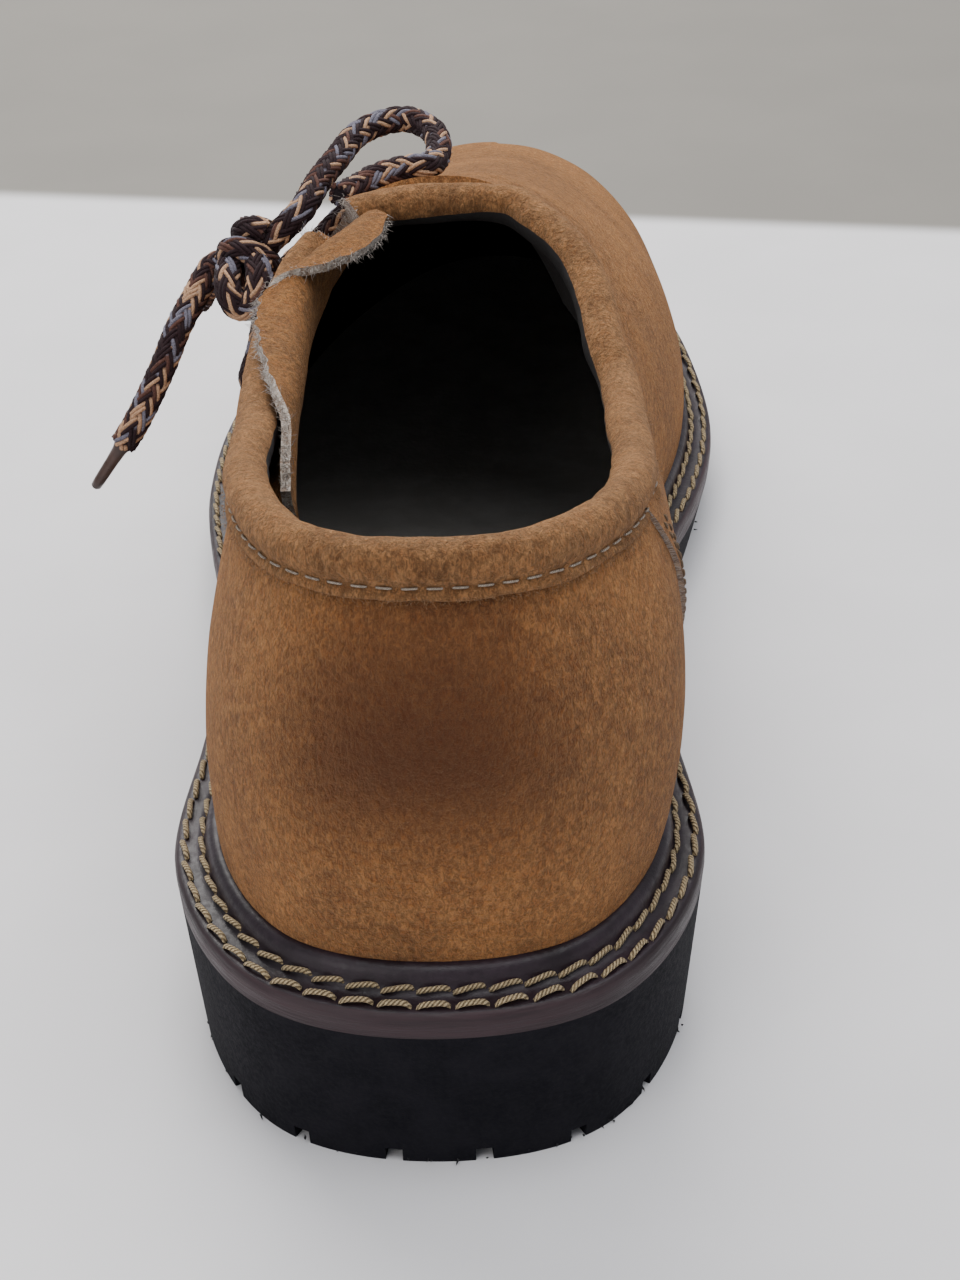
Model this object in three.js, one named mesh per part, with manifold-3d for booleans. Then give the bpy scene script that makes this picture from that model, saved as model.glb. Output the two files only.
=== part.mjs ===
import * as THREE from 'three';
import { mergeVertices } from 'three/addons/utils/BufferGeometryUtils.js';
import Module from 'manifold-3d';

const wasm = await Module();
wasm.setup();

// A left haferl shoe, in millimetres. Toe along +Y, medial side +X, up +Z. The origin is the
// middle of the heel's tread, on the floor.

const lastLength = 283;        // feather edge, heel to toe
const heelHalfWidth = 33.5;    // of the feather edge
const ballHalfWidth = 45.5;
const instepHeight = 83;       // crest at the throat, above the welt
const heelRubber = 25.6;       // outsole height under the heel
const foreRubber = 9.9;        // outsole height under the ball
const flange = 7.5;            // welt beyond the feather edge
const heelFlange = 0.7;        // more of it at the back
const brownHeight = 4.4;       // midsole and welt together
const weltHeight = 2.1;
const rimHeight = 4.0;         // storm rim above the welt
const wall = 2.0;              // upper with its lining
const vampStep = 0.9;          // vamp leather over the quarter
const gap = 0.3;               // between neighbouring pieces
const collarHeight = 96.2;       // top edge at the back, above the floor
const bandHeight = 5.8;        // collar band below the top edge
const cordWidth = 4.4;
const treadDepth = 4;
const grooveWidth = 2.8;
const heelCentre = 0.127 * lastLength;
const stations = 30;
const ribs = 22;
const throatArch = 0.022;      // rounds the front of the top edge on the medial side, per mm

// Feather edge and last: along is a share of lastLength; lateral and medial are shares of the
// half width there; lag is how far the medial point trails, in mm; crest is a share of
// instepHeight; lean is the crest's X in mm; power squares the section; swell and bulge are
// the lateral and medial walls' fullness in mm; tuck is the power taken off laterally.
const lastRows = [
  { along: 0.000, lateral: 0.000, medial: 0.000, lag: 0, crest: 1.350, lean: 0.5, power: 2.30,
    swell: 1.2, bulge: 1.2, tuck: 0.00 },
  { along: 0.023, lateral: 0.646, medial: 0.646, lag: 0, crest: 1.350, lean: 0.5, power: 2.30,
    swell: 1.2, bulge: 1.4, tuck: 0.15 },
  { along: 0.106, lateral: 1.000, medial: 0.985, lag: 0, crest: 1.350, lean: 1.0, power: 2.30,
    swell: 1.6, bulge: 4.0, tuck: 0.42 },
  { along: 0.219, lateral: 0.980, medial: 0.919, lag: 0, crest: 1.350, lean: 1.0, power: 2.50,
    swell: 1.8, bulge: 6.2, tuck: 0.50 },
  { along: 0.325, lateral: 0.889, medial: 0.787, lag: 0, crest: 1.250, lean: 0.5, power: 3.40,
    swell: 2.4, bulge: 6.4, tuck: 0.90 },
  { along: 0.431, lateral: 0.870, medial: 0.711, lag: 1, crest: 1.010, lean: 0.0, power: 2.40,
    swell: 2.0, bulge: 5.2, tuck: 0.10 },
  { along: 0.530, lateral: 0.926, medial: 0.755, lag: 1, crest: 0.920, lean: 2.5, power: 2.00,
    swell: 2.0, bulge: 3.2, tuck: 0.00 },
  { along: 0.629, lateral: 0.989, medial: 0.905, lag: 2, crest: 0.825, lean: 5.0, power: 1.90,
    swell: 2.2, bulge: 2.2, tuck: 0.00 },
  { along: 0.728, lateral: 0.974, medial: 1.005, lag: 3, crest: 0.718, lean: 6.0, power: 1.90,
    swell: 2.4, bulge: 2.0, tuck: 0.00 },
  { along: 0.823, lateral: 0.842, medial: 0.980, lag: 4, crest: 0.607, lean: 6.5, power: 2.00,
    swell: 2.4, bulge: 1.8, tuck: 0.00 },
  { along: 0.915, lateral: 0.571, medial: 0.850, lag: 4, crest: 0.480, lean: 7.5, power: 2.15,
    swell: 2.4, bulge: 1.8, tuck: 0.00 },
  { along: 0.982, lateral: 0.198, medial: 0.582, lag: 3, crest: 0.265, lean: 8.5, power: 2.20,
    swell: 2.0, bulge: 1.8, tuck: 0.00 },
  { along: 1.000, lateral: -0.198, medial: 0.198, lag: 0, crest: 0.000, lean: 9.0, power: 2.20,
    swell: 1.8, bulge: 1.8, tuck: 0.00 },
];

// How far the heel's back line stands forward, in mm, by height above the welt in mm.
const backRows = [
  { height: 0, forward: 0 },
  { height: 10, forward: -2.0 },
  { height: 22, forward: -3.2 },
  { height: 36, forward: -2.0 },
  { height: 50, forward: 1.4 },
  { height: 68, forward: 7.5 },
  { height: 90, forward: 13 },
  { height: 120, forward: 17 },
];

// Drop of the outsole's top from the heel, as a share of heelRubber - foreRubber.
const dropRows = [
  { along: -0.05, drop: 0.00 },
  { along: 0.18, drop: 0.02 },
  { along: 0.27, drop: 0.11 },
  { along: 0.35, drop: 0.37 },
  { along: 0.46, drop: 0.68 },
  { along: 0.565, drop: 0.90 },
  { along: 0.67, drop: 1.00 },
  { along: 0.775, drop: 0.95 },
  { along: 0.885, drop: 0.76 },
  { along: 0.97, drop: 0.52 },
  { along: 1.06, drop: 0.22 },
];

// Top edge: shares of collarHeight above the floor on either side.
const toplineRows = [
  { along: -0.200, lateral: 1.000, medial: 1.000 },
  { along: 0.020, lateral: 1.000, medial: 1.000 },
  { along: 0.092, lateral: 0.985, medial: 0.975 },
  { along: 0.163, lateral: 0.955, medial: 0.940 },
  { along: 0.233, lateral: 0.935, medial: 0.915 },
  { along: 0.304, lateral: 0.940, medial: 0.910 },
  { along: 0.357, lateral: 0.970, medial: 0.935 },
  { along: 0.394, lateral: 1.000, medial: 0.975 },
  { along: 0.420, lateral: 1.035, medial: 1.030 },
  { along: 0.437, lateral: 1.085, medial: 1.085 },
  { along: 0.454, lateral: 1.200, medial: 1.200 },
];

function clamp(value, low, high) {
  return Math.min(Math.max(value, low), high);
}

function ease(value) {
  const t = clamp(value, 0, 1);
  return t * t * (3 - 2 * t);
}

// Reads a column of a table at a key, with a monotone cubic between its rows.
function read(rows, key, column, at) {
  const xs = rows.map((row, index) => (key === null ? index : row[key]));
  const ys = rows.map((row) => row[column]);
  const last = xs.length - 1;
  if (at <= xs[0]) {
    return ys[0];
  }
  if (at >= xs[last]) {
    return ys[last];
  }
  let k = 0;
  while (at > xs[k + 1]) {
    k += 1;
  }
  const slope = (i) => (ys[i + 1] - ys[i]) / (xs[i + 1] - xs[i]);
  const tangent = (i) => {
    if (i === 0) {
      return slope(0);
    }
    if (i === last) {
      return slope(last - 1);
    }
    const before = slope(i - 1);
    const after = slope(i);
    return before * after <= 0 ? 0 : 2 * before * after / (before + after);
  };
  const width = xs[k + 1] - xs[k];
  const t = (at - xs[k]) / width;
  const a = ys[k] * (1 + 2 * t) * (1 - t) ** 2;
  const b = ys[k + 1] * t * t * (3 - 2 * t);
  const c = tangent(k) * width * t * (1 - t) ** 2;
  const d = tangent(k + 1) * width * t * t * (t - 1);
  return a + b + c + d;
}

const share = (y) => (y + heelCentre) / lastLength;
const place = (along) => along * lastLength - heelCentre;

function girth(along) {
  return heelHalfWidth + (ballHalfWidth - heelHalfWidth) * ease((along - 0.2) / 0.4);
}

// Heights above the floor of the outsole's top and of the welt's top.
function rubberTop(y) {
  return heelRubber - (heelRubber - foreRubber) * read(dropRows, 'along', 'drop', share(y));
}

function weltTop(y) {
  return rubberTop(y) + brownHeight;
}

function featherLoop() {
  const lateral = lastRows.map((row) => new THREE.Vector3(
    -row.lateral * girth(row.along), place(row.along), 0));
  const medial = lastRows.slice(1, -1).reverse().map((row) => new THREE.Vector3(
    row.medial * girth(row.along), place(row.along) - row.lag, 0));
  return new THREE.CatmullRomCurve3([...lateral, ...medial], true, 'catmullrom', 0.5);
}

const feather = featherLoop();
const rowCount = lastRows.length - 1;

// A point of the feather edge; side -1 is lateral, 1 medial; t counts rows from the heel.
function edge(t, side) {
  const turn = t / (2 * rowCount);
  return feather.getPoint(side < 0 ? turn : 1 - turn);
}

function backShift(y, height) {
  const fade = 1 - ease((y + heelCentre) / 95);
  return read(backRows, 'height', 'forward', height) * fade;
}

// One cross-section of the last from the lateral edge over the crest to the medial edge.
function section(t, count) {
  const crest = read(lastRows, null, 'crest', t) * instepHeight;
  const lean = read(lastRows, null, 'lean', t);
  const power = read(lastRows, null, 'power', t);
  const tuck = read(lastRows, null, 'tuck', t);
  const ends = { [-1]: edge(t, -1), [1]: edge(t, 1) };
  const middle = (ends[-1].y + ends[1].y) / 2;
  const dense = [];
  const steps = 160;
  for (let i = 0; i <= steps; i += 1) {
    const angle = Math.PI * i / steps;
    const side = i * 2 <= steps ? -1 : 1;
    const bend = 2 / (side < 0 ? power - tuck : power);
    const out = Math.abs(Math.cos(angle)) ** bend;
    const height = crest * Math.sin(angle) ** bend;
    const x = lean + (ends[side].x - lean) * out;
    const y = middle + (ends[side].y - middle) * out;
    const moved = y + backShift(y, height);
    dense.push(new THREE.Vector3(x, moved, weltTop(moved) + height));
  }
  const run = [0];
  for (let i = 1; i <= steps; i += 1) {
    run.push(run[i - 1] + dense[i].distanceTo(dense[i - 1]));
  }
  const points = [];
  let k = 0;
  for (let j = 0; j <= count; j += 1) {
    const goal = run[steps] * j / count;
    while (k < steps - 1 && run[k + 1] < goal) {
      k += 1;
    }
    const span = run[k + 1] - run[k];
    points.push(dense[k].clone().lerp(dense[k + 1], span > 0 ? (goal - run[k]) / span : 0));
  }
  return points;
}

function stationAt(i, count) {
  const u = i / count;
  return rowCount * (0.72 * u + 0.28 * (1 - Math.cos(Math.PI * u)) / 2);
}

// Grid of the last's surface, moved out along its normals by offset plus the swell.
function lastGrid(offset, drop, rows = stations, columns = ribs) {
  const base = [];
  for (let i = 0; i <= rows; i += 1) {
    base.push(section(stationAt(i, rows), columns));
  }
  const grid = base.map((row, i) => row.map((point, j) => {
    const normal = new THREE.Vector3();
    if (i === rows) {
      normal.set(0, 1, 0);
    } else {
      const ahead = base[i + 1][j].clone().sub(base[Math.max(i - 1, 0)][j]);
      const over = row[Math.min(j + 1, columns)].clone().sub(row[Math.max(j - 1, 0)]);
      normal.crossVectors(over, ahead).normalize();
      if (i === 0) {
        normal.set(0, -1, 0);
      }
    }
    const height = point.z - weltTop(point.y);
    const t = stationAt(i, rows);
    const full = j * 2 <= columns ? 'swell' : 'bulge';
    const rise = clamp(height / (point.y < place(0.5) ? 62 : 46), 0, 1);
    const swell = read(lastRows, null, full, t) * 4 * rise * (1 - rise);
    return point.clone().addScaledVector(normal, offset + swell);
  }));
  if (drop > 0) {
    for (const row of grid) {
      const down = new THREE.Vector3(0, 0, -drop);
      row.unshift(row[0].clone().add(down));
      row.push(row[row.length - 1].clone().add(down));
    }
  }
  return grid;
}

function solidFrom(points, faces) {
  const geometry = new THREE.BufferGeometry();
  const flat = points.flatMap((point) => [point.x, point.y, point.z]);
  geometry.setAttribute('position', new THREE.Float32BufferAttribute(flat, 3));
  geometry.setIndex(faces);
  return solid(geometry);
}

function manifoldOf(positions, triangles) {
  return new wasm.Manifold(new wasm.Mesh({
    numProp: 3,
    vertProperties: Float32Array.from(positions),
    triVerts: Uint32Array.from(triangles),
  }));
}

// A closed geometry as a solid, its faces turned outwards.
function solid(geometry) {
  const bare = geometry.clone();
  bare.deleteAttribute('normal');
  bare.deleteAttribute('uv');
  const merged = mergeVertices(bare, 1e-4);
  const index = Array.from(merged.index.array);
  const kept = [];
  for (let i = 0; i < index.length; i += 3) {
    const [a, b, c] = [index[i], index[i + 1], index[i + 2]];
    if (a !== b && b !== c && c !== a) {
      kept.push(a, b, c);
    }
  }
  const positions = merged.attributes.position.array;
  const made = manifoldOf(positions, kept);
  return made.volume() > 0 ? made : manifoldOf(positions, kept.reverse());
}

// Closes a grid whose rows run lateral edge, over the top, medial edge, by a strip beneath.
function tunnel(grid) {
  const columns = grid[0].length;
  const points = grid.flat();
  const faces = [];
  const at = (i, j) => i * columns + j;
  for (let i = 0; i < grid.length - 1; i += 1) {
    for (let j = 0; j < columns - 1; j += 1) {
      faces.push(at(i, j), at(i, j + 1), at(i + 1, j + 1));
      faces.push(at(i, j), at(i + 1, j + 1), at(i + 1, j));
    }
    faces.push(at(i, columns - 1), at(i, 0), at(i + 1, 0));
    faces.push(at(i, columns - 1), at(i + 1, 0), at(i + 1, columns - 1));
  }
  return solidFrom(points, faces);
}

function lastSolid(offset, drop, rows, columns) {
  return tunnel(lastGrid(offset, drop, rows, columns));
}

// A closed loop of section rings, each ring a list of points; open sweeps get end caps.
function sweep(rings, closed) {
  const size = rings[0].length;
  const points = rings.flat();
  const faces = [];
  const count = closed ? rings.length : rings.length - 1;
  for (let i = 0; i < count; i += 1) {
    const a = i * size;
    const b = ((i + 1) % rings.length) * size;
    for (let j = 0; j < size; j += 1) {
      const n = (j + 1) % size;
      faces.push(a + j, b + n, a + n);
      faces.push(a + j, b + j, b + n);
    }
  }
  if (!closed) {
    const first = points.length;
    const last = (rings.length - 1) * size;
    for (const [ring, start] of [[rings[0], 0], [rings[rings.length - 1], last]]) {
      const centre = new THREE.Vector3();
      ring.forEach((point) => centre.add(point));
      points.push(centre.divideScalar(size));
      for (let j = 0; j < size; j += 1) {
        const n = (j + 1) % size;
        if (start === 0) {
          faces.push(first, start + j, start + n);
        } else {
          faces.push(first + 1, start + n, start + j);
        }
      }
    }
  }
  return solidFrom(points, faces);
}

// Outline of the sole at an offset from the feather edge, heel round by the lateral side.
function outline(offset, count) {
  const points = [];
  for (let i = 0; i < count; i += 1) {
    const point = feather.getPoint(i / count);
    const tangent = feather.getTangent(i / count);
    const normal = new THREE.Vector3(-tangent.y, tangent.x, 0).normalize();
    const back = clamp(1 - (point.y + heelCentre) / 30, 0, 1) * heelFlange * Math.sign(offset);
    points.push(point.addScaledVector(normal, offset).add(new THREE.Vector3(0, -back, 0)));
  }
  return points;
}

// A plate between two height functions over outlines of the sole.
function plate(lower, upper, count) {
  const rings = [lower, upper].map(({ offset, height }) => outline(offset, count).map(
    (point) => new THREE.Vector3(point.x, point.y, height(point.y))));
  const points = rings.flat();
  const faces = [];
  for (let i = 0; i < count; i += 1) {
    const n = (i + 1) % count;
    faces.push(i, count + n, n);
    faces.push(i, count + i, count + n);
  }
  for (let i = 0; i < count / 2; i += 1) {
    const a = i;
    const b = i + 1;
    const c = (count - i) % count;
    const d = count - i - 1;
    faces.push(a, b, d, a, d, c);
    faces.push(count + a, count + d, count + b, count + a, count + c, count + d);
  }
  return solidFrom(points, faces);
}

function largest(manifold) {
  return manifold.decompose().reduce((best, next) => (
    next.volume() > best.volume() ? next : best));
}

function meshOf(manifold, name, look) {
  const { numProp, vertProperties, triVerts } = manifold.getMesh();
  const positions = new Float32Array(vertProperties.length / numProp * 3);
  for (let i = 0; i < positions.length / 3; i += 1) {
    positions.set(vertProperties.subarray(i * numProp, i * numProp + 3), i * 3);
  }
  const geometry = new THREE.BufferGeometry();
  geometry.setAttribute('position', new THREE.BufferAttribute(positions, 3));
  geometry.setIndex(Array.from(triVerts));
  const facets = geometry.toNonIndexed();
  facets.computeVertexNormals();
  const mesh = new THREE.Mesh(facets, new THREE.MeshStandardMaterial(look));
  mesh.name = name;
  return mesh;
}

// Top edge height at a place; the lateral and medial lines blend over the middle.
function toplineHeight(x, y) {
  const lateral = read(toplineRows, 'along', 'lateral', share(y));
  const arch = throatArch * clamp(x, 0, 30) ** 2 * ease((y - 30) / 25);
  const medial = read(toplineRows, 'along', 'medial', share(y + arch));
  return collarHeight * (lateral + (medial - lateral) * ease((x + 16) / 32));
}

// Everything above the top edge, moved up by lift.
function aboveTopline(lift) {
  const xs = [-90, -20, -12, -6, 0, 6, 12, 18, 24, 30, 90];
  const ys = [];
  for (let i = 0; i <= 30; i += 1) {
    ys.push(place(-0.2 + 0.66 * Math.sin(Math.PI / 2 * i / 30)) + (i === 30 ? lift : 0));
  }
  const rings = xs.map((x) => [
    ...ys.map((y) => new THREE.Vector3(x, y, toplineHeight(x, y) + lift)),
    ...ys.map((y) => new THREE.Vector3(x, y, 260)).reverse(),
  ]);
  const size = rings[0].length;
  const points = rings.flat();
  const faces = [];
  for (let i = 0; i < rings.length - 1; i += 1) {
    for (let j = 0; j < size; j += 1) {
      const n = (j + 1) % size;
      faces.push(i * size + j, i * size + n, (i + 1) * size + n);
      faces.push(i * size + j, (i + 1) * size + n, (i + 1) * size + j);
    }
  }
  const end = (rings.length - 1) * size;
  for (let j = 0; j < ys.length - 1; j += 1) {
    const [a, b, c, d] = [j, j + 1, size - 2 - j, size - 1 - j];
    faces.push(a, c, b, a, d, c);
    faces.push(end + a, end + b, end + c, end + a, end + c, end + d);
  }
  return solidFrom(points, faces);
}

const midsoleTop = (y) => weltTop(y) - weltHeight - gap;
const soleStations = 64;

const heelBreast = 0.275;
const waistEnd = 0.53;

// Bottom of the outsole over the floor, toe spring and no waist.
function treadLevel(y) {
  return 11.5 * ease((share(y) - 0.76) / 0.34);
}

function box(width, depth, height) {
  return new THREE.BoxGeometry(width, depth, height);
}

// Grooves run in from the edge between the lugs of the heel and the forefoot.
function buildEdgeGrooves() {
  const count = 52;
  const grooves = [];
  for (let i = 0; i < count; i += 1) {
    const turn = (i + 0.5) / count;
    const point = feather.getPoint(turn);
    const tangent = feather.getTangent(turn);
    const normal = new THREE.Vector3(-tangent.y, tangent.x, 0).normalize();
    const along = share(point.y);
    if (along < heelBreast - 0.04 || along > waistEnd + 0.02) {
      const centre = point.addScaledVector(normal, 0.5);
      const cut = box(22, grooveWidth, treadDepth + 10);
      cut.rotateZ(Math.atan2(normal.y, normal.x));
      cut.translate(centre.x, centre.y, treadLevel(centre.y) + treadDepth / 2 - 5);
      grooves.push(solid(cut));
    }
  }
  return grooves;
}

// Grooves across the middle of the tread, between the edge lugs.
function buildCrossGrooves() {
  const grooves = [];
  for (const along of [0.062, 0.192, 0.60, 0.655, 0.71, 0.765, 0.82, 0.875]) {
    const y = place(along);
    const middle = along < 0.5 ? 0 : 3 + 5 * (along - 0.6);
    const reach = along < 0.1 || along > 0.85 ? 30 : 44;
    const cut = box(reach, grooveWidth, treadDepth + 10);
    cut.translate(middle, y, treadLevel(y) + treadDepth / 2 - 5);
    grooves.push(solid(cut));
  }
  return grooves;
}

function buildWaist() {
  const [back, front] = [place(heelBreast), place(waistEnd)];
  const profile = [
    [back, -6],
    [back + 1.5, 8.8],
    [back + 0.35 * (front - back), 6.6],
    [back + 0.75 * (front - back), 2.6],
    [front, 0],
    [front + 4, -6],
  ];
  const rings = [-80, 80].map((x) => profile.map(([y, z]) => new THREE.Vector3(x, y, z)));
  return sweep(rings, false);
}

function buildOutsole() {
  let body = plate(
    { offset: flange - 2.4, height: treadLevel },
    { offset: flange - 0.1, height: rubberTop },
    soleStations,
  );
  const channel = plate(
    { offset: -8.5, height: (y) => treadLevel(y) - 8 },
    { offset: -8.5, height: (y) => treadLevel(y) + treadDepth },
    soleStations / 2,
  ).subtract(plate(
    { offset: -8.5 - grooveWidth, height: (y) => treadLevel(y) - 9 },
    { offset: -8.5 - grooveWidth, height: (y) => treadLevel(y) + treadDepth + 2 },
    soleStations / 2,
  ));
  body = body.subtract(buildWaist()).subtract(channel);
  for (const groove of [...buildEdgeGrooves(), ...buildCrossGrooves()]) {
    body = body.subtract(groove);
  }
  return body;
}

function buildMidsole() {
  return plate(
    { offset: flange - 0.1, height: (y) => rubberTop(y) + gap },
    { offset: flange, height: midsoleTop },
    soleStations,
  );
}

// The welt's section: out from the feather edge, up from the welt's top.
const weltSection = [
  [-3, -weltHeight],
  [-3, rimHeight + 0.1],
  [1.5, rimHeight + 0.1],
  [2.3, rimHeight - 0.7],
  [2.8, 1.0],
  [3.6, 0.1],
  [5.6, 0.0],
  [flange - 0.9, 0.1],
  [flange - 0.1, -0.6],
  [flange + 0.1, -weltHeight],
];

function buildWelt() {
  const loops = weltSection.map(([out]) => outline(out, soleStations));
  const rings = [];
  for (let i = 0; i < soleStations; i += 1) {
    rings.push(weltSection.map(([, up], k) => {
      const point = loops[k][i];
      return new THREE.Vector3(point.x, point.y, weltTop(point.y) + up);
    }));
  }
  return sweep(rings, true).subtract(steppedLast(gap, 8));
}

// The upper's outside as a dense grid, read between its points.
const skinRows = 120;
const skinColumns = 80;
const skin = lastGrid(0, 0, skinRows, skinColumns);

function skinAt(row, column) {
  const i = clamp(Math.floor(row), 0, skinRows - 2);
  const j = clamp(Math.floor(column), 0, skinColumns - 1);
  const [u, v] = [row - i, column - j];
  const low = skin[i][j].clone().lerp(skin[i][j + 1], v);
  const high = skin[i + 1][j].clone().lerp(skin[i + 1][j + 1], v);
  const over = skin[i][j + 1].clone().sub(skin[i][j]);
  const ahead = high.clone().sub(low);
  return { point: low.lerp(high, u), normal: new THREE.Vector3().crossVectors(over, ahead).normalize() };
}

// Row and column of the skin nearest to a point, on the lateral or the medial half.
function skinNear(x, y, z) {
  const goal = new THREE.Vector3(x, y, z);
  let best = { far: Infinity };
  for (let i = 1; i < skinRows; i += 1) {
    for (let j = 0; j <= skinColumns; j += 1) {
      const far = skin[i][j].distanceTo(goal);
      if (far < best.far) {
        best = { far, row: i, column: j };
      }
    }
  }
  return best;
}

// The lacing slit runs from the top edge down the lateral side, in skin rows and columns.
const slitTop = { x: -21, y: 84, z: 98 };
const slitEnd = { x: -37, y: 126, z: 52 };
const slitWidth = { top: 9, end: 5 };
const eyeletShares = [0.17, 0.47, 0.77];
const eyeletInset = 6.5;
const eyeletRadius = 2.5;

function slitPath(share_) {
  const from = skinNear(slitTop.x, slitTop.y, slitTop.z);
  const to = skinNear(slitEnd.x, slitEnd.y, slitEnd.z);
  const at = (key) => from[key] + (to[key] - from[key]) * share_;
  return skinAt(at('row'), at('column'));
}

// Places down the slit: centre, outward normal and the direction across, towards the crest.
function slitPlace(share_) {
  const { point, normal } = slitPath(share_);
  const down = slitPath(share_ + 0.02).point.sub(slitPath(share_ - 0.02).point).normalize();
  const across = new THREE.Vector3().crossVectors(normal, down).normalize();
  across.multiplyScalar(Math.sign(across.x));
  const width = slitWidth.top + (slitWidth.end - slitWidth.top) * share_;
  return { point, normal, across, down, width };
}

function buildSlit() {
  const rings = [];
  for (let i = -3; i <= 10; i += 1) {
    const place_ = slitPlace(i / 10);
    const half = place_.width / 2 * (i === 10 ? 0.55 : 1);
    rings.push([[-1, -1], [1, -1], [1, 1], [-1, 1]].map(([side, up]) => place_.point.clone()
      .addScaledVector(place_.across, side * half)
      .addScaledVector(place_.normal, up * 7)));
  }
  return sweep(rings, false);
}

// Where an eyelet meets the upper's outside; side -1 is the quarter's edge, 1 the vamp's.
function eyeletPlace(index, side) {
  const { point, across, width } = slitPlace(eyeletShares[index]);
  const goal = point.clone().addScaledVector(across, side * (width / 2 + eyeletInset));
  const near = skinNear(goal.x, goal.y, goal.z);
  return skinAt(near.row, near.column);
}

function buildEyelet(index, side) {
  const { point, normal } = eyeletPlace(index, side);
  const bore = new THREE.CylinderGeometry(eyeletRadius, eyeletRadius, 14, 8);
  const turn = new THREE.Quaternion().setFromUnitVectors(new THREE.Vector3(0, 1, 0), normal);
  bore.applyQuaternion(turn);
  bore.translate(point.x, point.y, point.z);
  return solid(bore);
}

// The vamp covers the forefoot and reaches back along the medial side to a seam.
const seamRows = [
  { x: -90, foot: 106, head: 128 },
  { x: -30, foot: 106, head: 128 },
  { x: -29, foot: 60, head: 60 },
  { x: 14, foot: 60, head: 60 },
  { x: 15, foot: 34, head: -4 },
  { x: 90, foot: 34, head: -4 },
];

function vampRegion() {
  const rings = seamRows.map(({ x, foot, head }) => [
    new THREE.Vector3(x, foot, 5),
    new THREE.Vector3(x, 400, 5),
    new THREE.Vector3(x, 400, 150),
    new THREE.Vector3(x, head + (head - foot) * 0.9, 150),
    new THREE.Vector3(x, head, 90),
    new THREE.Vector3(x, foot, 30),
  ]);
  return sweep(rings, false);
}

// The last with the vamp's step on it, moved out by offset.
function steppedLast(offset, drop) {
  const vamp = lastSolid(offset + vampStep, drop - 0.6).intersect(vampRegion());
  return lastSolid(offset, drop).add(vamp);
}

function buildUpper() {
  let upper = steppedLast(0, weltHeight).subtract(lastSolid(-wall, weltHeight + 4)).subtract(aboveTopline(0));
  upper = upper.subtract(buildSlit());
  for (const index of eyeletShares.keys()) {
    upper = upper.subtract(buildEyelet(index, -1)).subtract(buildEyelet(index, 1));
  }
  return upper;
}

// The top edge as a loop on the upper's outside: back, lateral side, throat, medial side.
// Each place has its point, outward normal and run from the back in mm.
function toplineLoop() {
  const rows = 90;
  const columns = 60;
  const grid = lastGrid(0, 0, rows, columns);
  const above = (point) => point.z - toplineHeight(point.x, point.y);
  const sides = { lateral: [], medial: [] };
  for (let i = 0; i < rows; i += 1) {
    for (const [name, from, step] of [['lateral', 0, 1], ['medial', columns, -1]]) {
      for (let k = 0; k < columns / 2; k += 1) {
        const j = from + k * step;
        const a = above(grid[i][j]);
        const b = above(grid[i][j + step]);
        if (a < 0 && b >= 0) {
          const point = grid[i][j].clone().lerp(grid[i][j + step], a / (a - b));
          const over = grid[i][j + step].clone().sub(grid[i][j]).multiplyScalar(step);
          const ahead = grid[i + 1][j].clone().sub(grid[Math.max(i - 1, 0)][j]);
          const normal = new THREE.Vector3().crossVectors(over, ahead).normalize();
          sides[name].push({ point, normal: i === 0 ? new THREE.Vector3(0, -0.97, 0.24) : normal });
          break;
        }
      }
    }
  }
  const loop = [...sides.lateral, ...sides.medial.slice(1).reverse()];
  const thin = loop.filter((place_, i) => i === 0
    || place_.point.distanceTo(loop[i - 1].point) > 0.2);
  const path = new THREE.CatmullRomCurve3(thin.map(({ point }) => point), true, 'centripetal');
  const facing = new THREE.CatmullRomCurve3(thin.map(({ normal }) => normal), true, 'centripetal');
  const places = [];
  const dense = 720;
  let run = 0;
  for (let i = 0; i <= dense; i += 1) {
    const point = path.getPoint(i / dense);
    run += i > 0 ? point.distanceTo(places[i - 1].point) : 0;
    places.push({ point, normal: facing.getPoint(i / dense).normalize(), run });
  }
  return places;
}

const topline = toplineLoop();
const toplineLength = topline[topline.length - 1].run;

function toplineAt(run) {
  const goal = ((run % toplineLength) + toplineLength) % toplineLength;
  let k = 0;
  while (topline[k + 1].run < goal) {
    k += 1;
  }
  const [a, b] = [topline[k], topline[k + 1]];
  const t = (goal - a.run) / (b.run - a.run);
  const point = a.point.clone().lerp(b.point, t);
  const normal = a.normal.clone().lerp(b.normal, t).normalize();
  return { point, normal };
}

// Run of the loop's place nearest to a plan position.
function toplineRun(x, y) {
  const far = ({ point }) => Math.hypot(point.x - x, point.y - y);
  return topline.reduce((best, next) => (far(next) < far(best) ? next : best)).run;
}

// The collar band's section: out from the upper's outside, up from its top edge.
const bandSection = [
  [-wall - 0.2, -bandHeight + 0.6],
  [-wall - 1.6, -bandHeight + 1.2],
  [-wall - 2.2, -2.2],
  [-wall - 1.4, 0.9],
  [-0.8, 2.1],
  [1.4, 1.2],
  [2.3, -1.2],
  [1.9, -3.4],
  [1.3, -bandHeight + 1.6],
  [1.5, -bandHeight + 0.2],
  [0.2, -bandHeight],
];

const bandStep = 7;
const vampCorner = { x: -17.5, y: 89 };
const quarterCorner = { x: -24, y: 79 };

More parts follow.
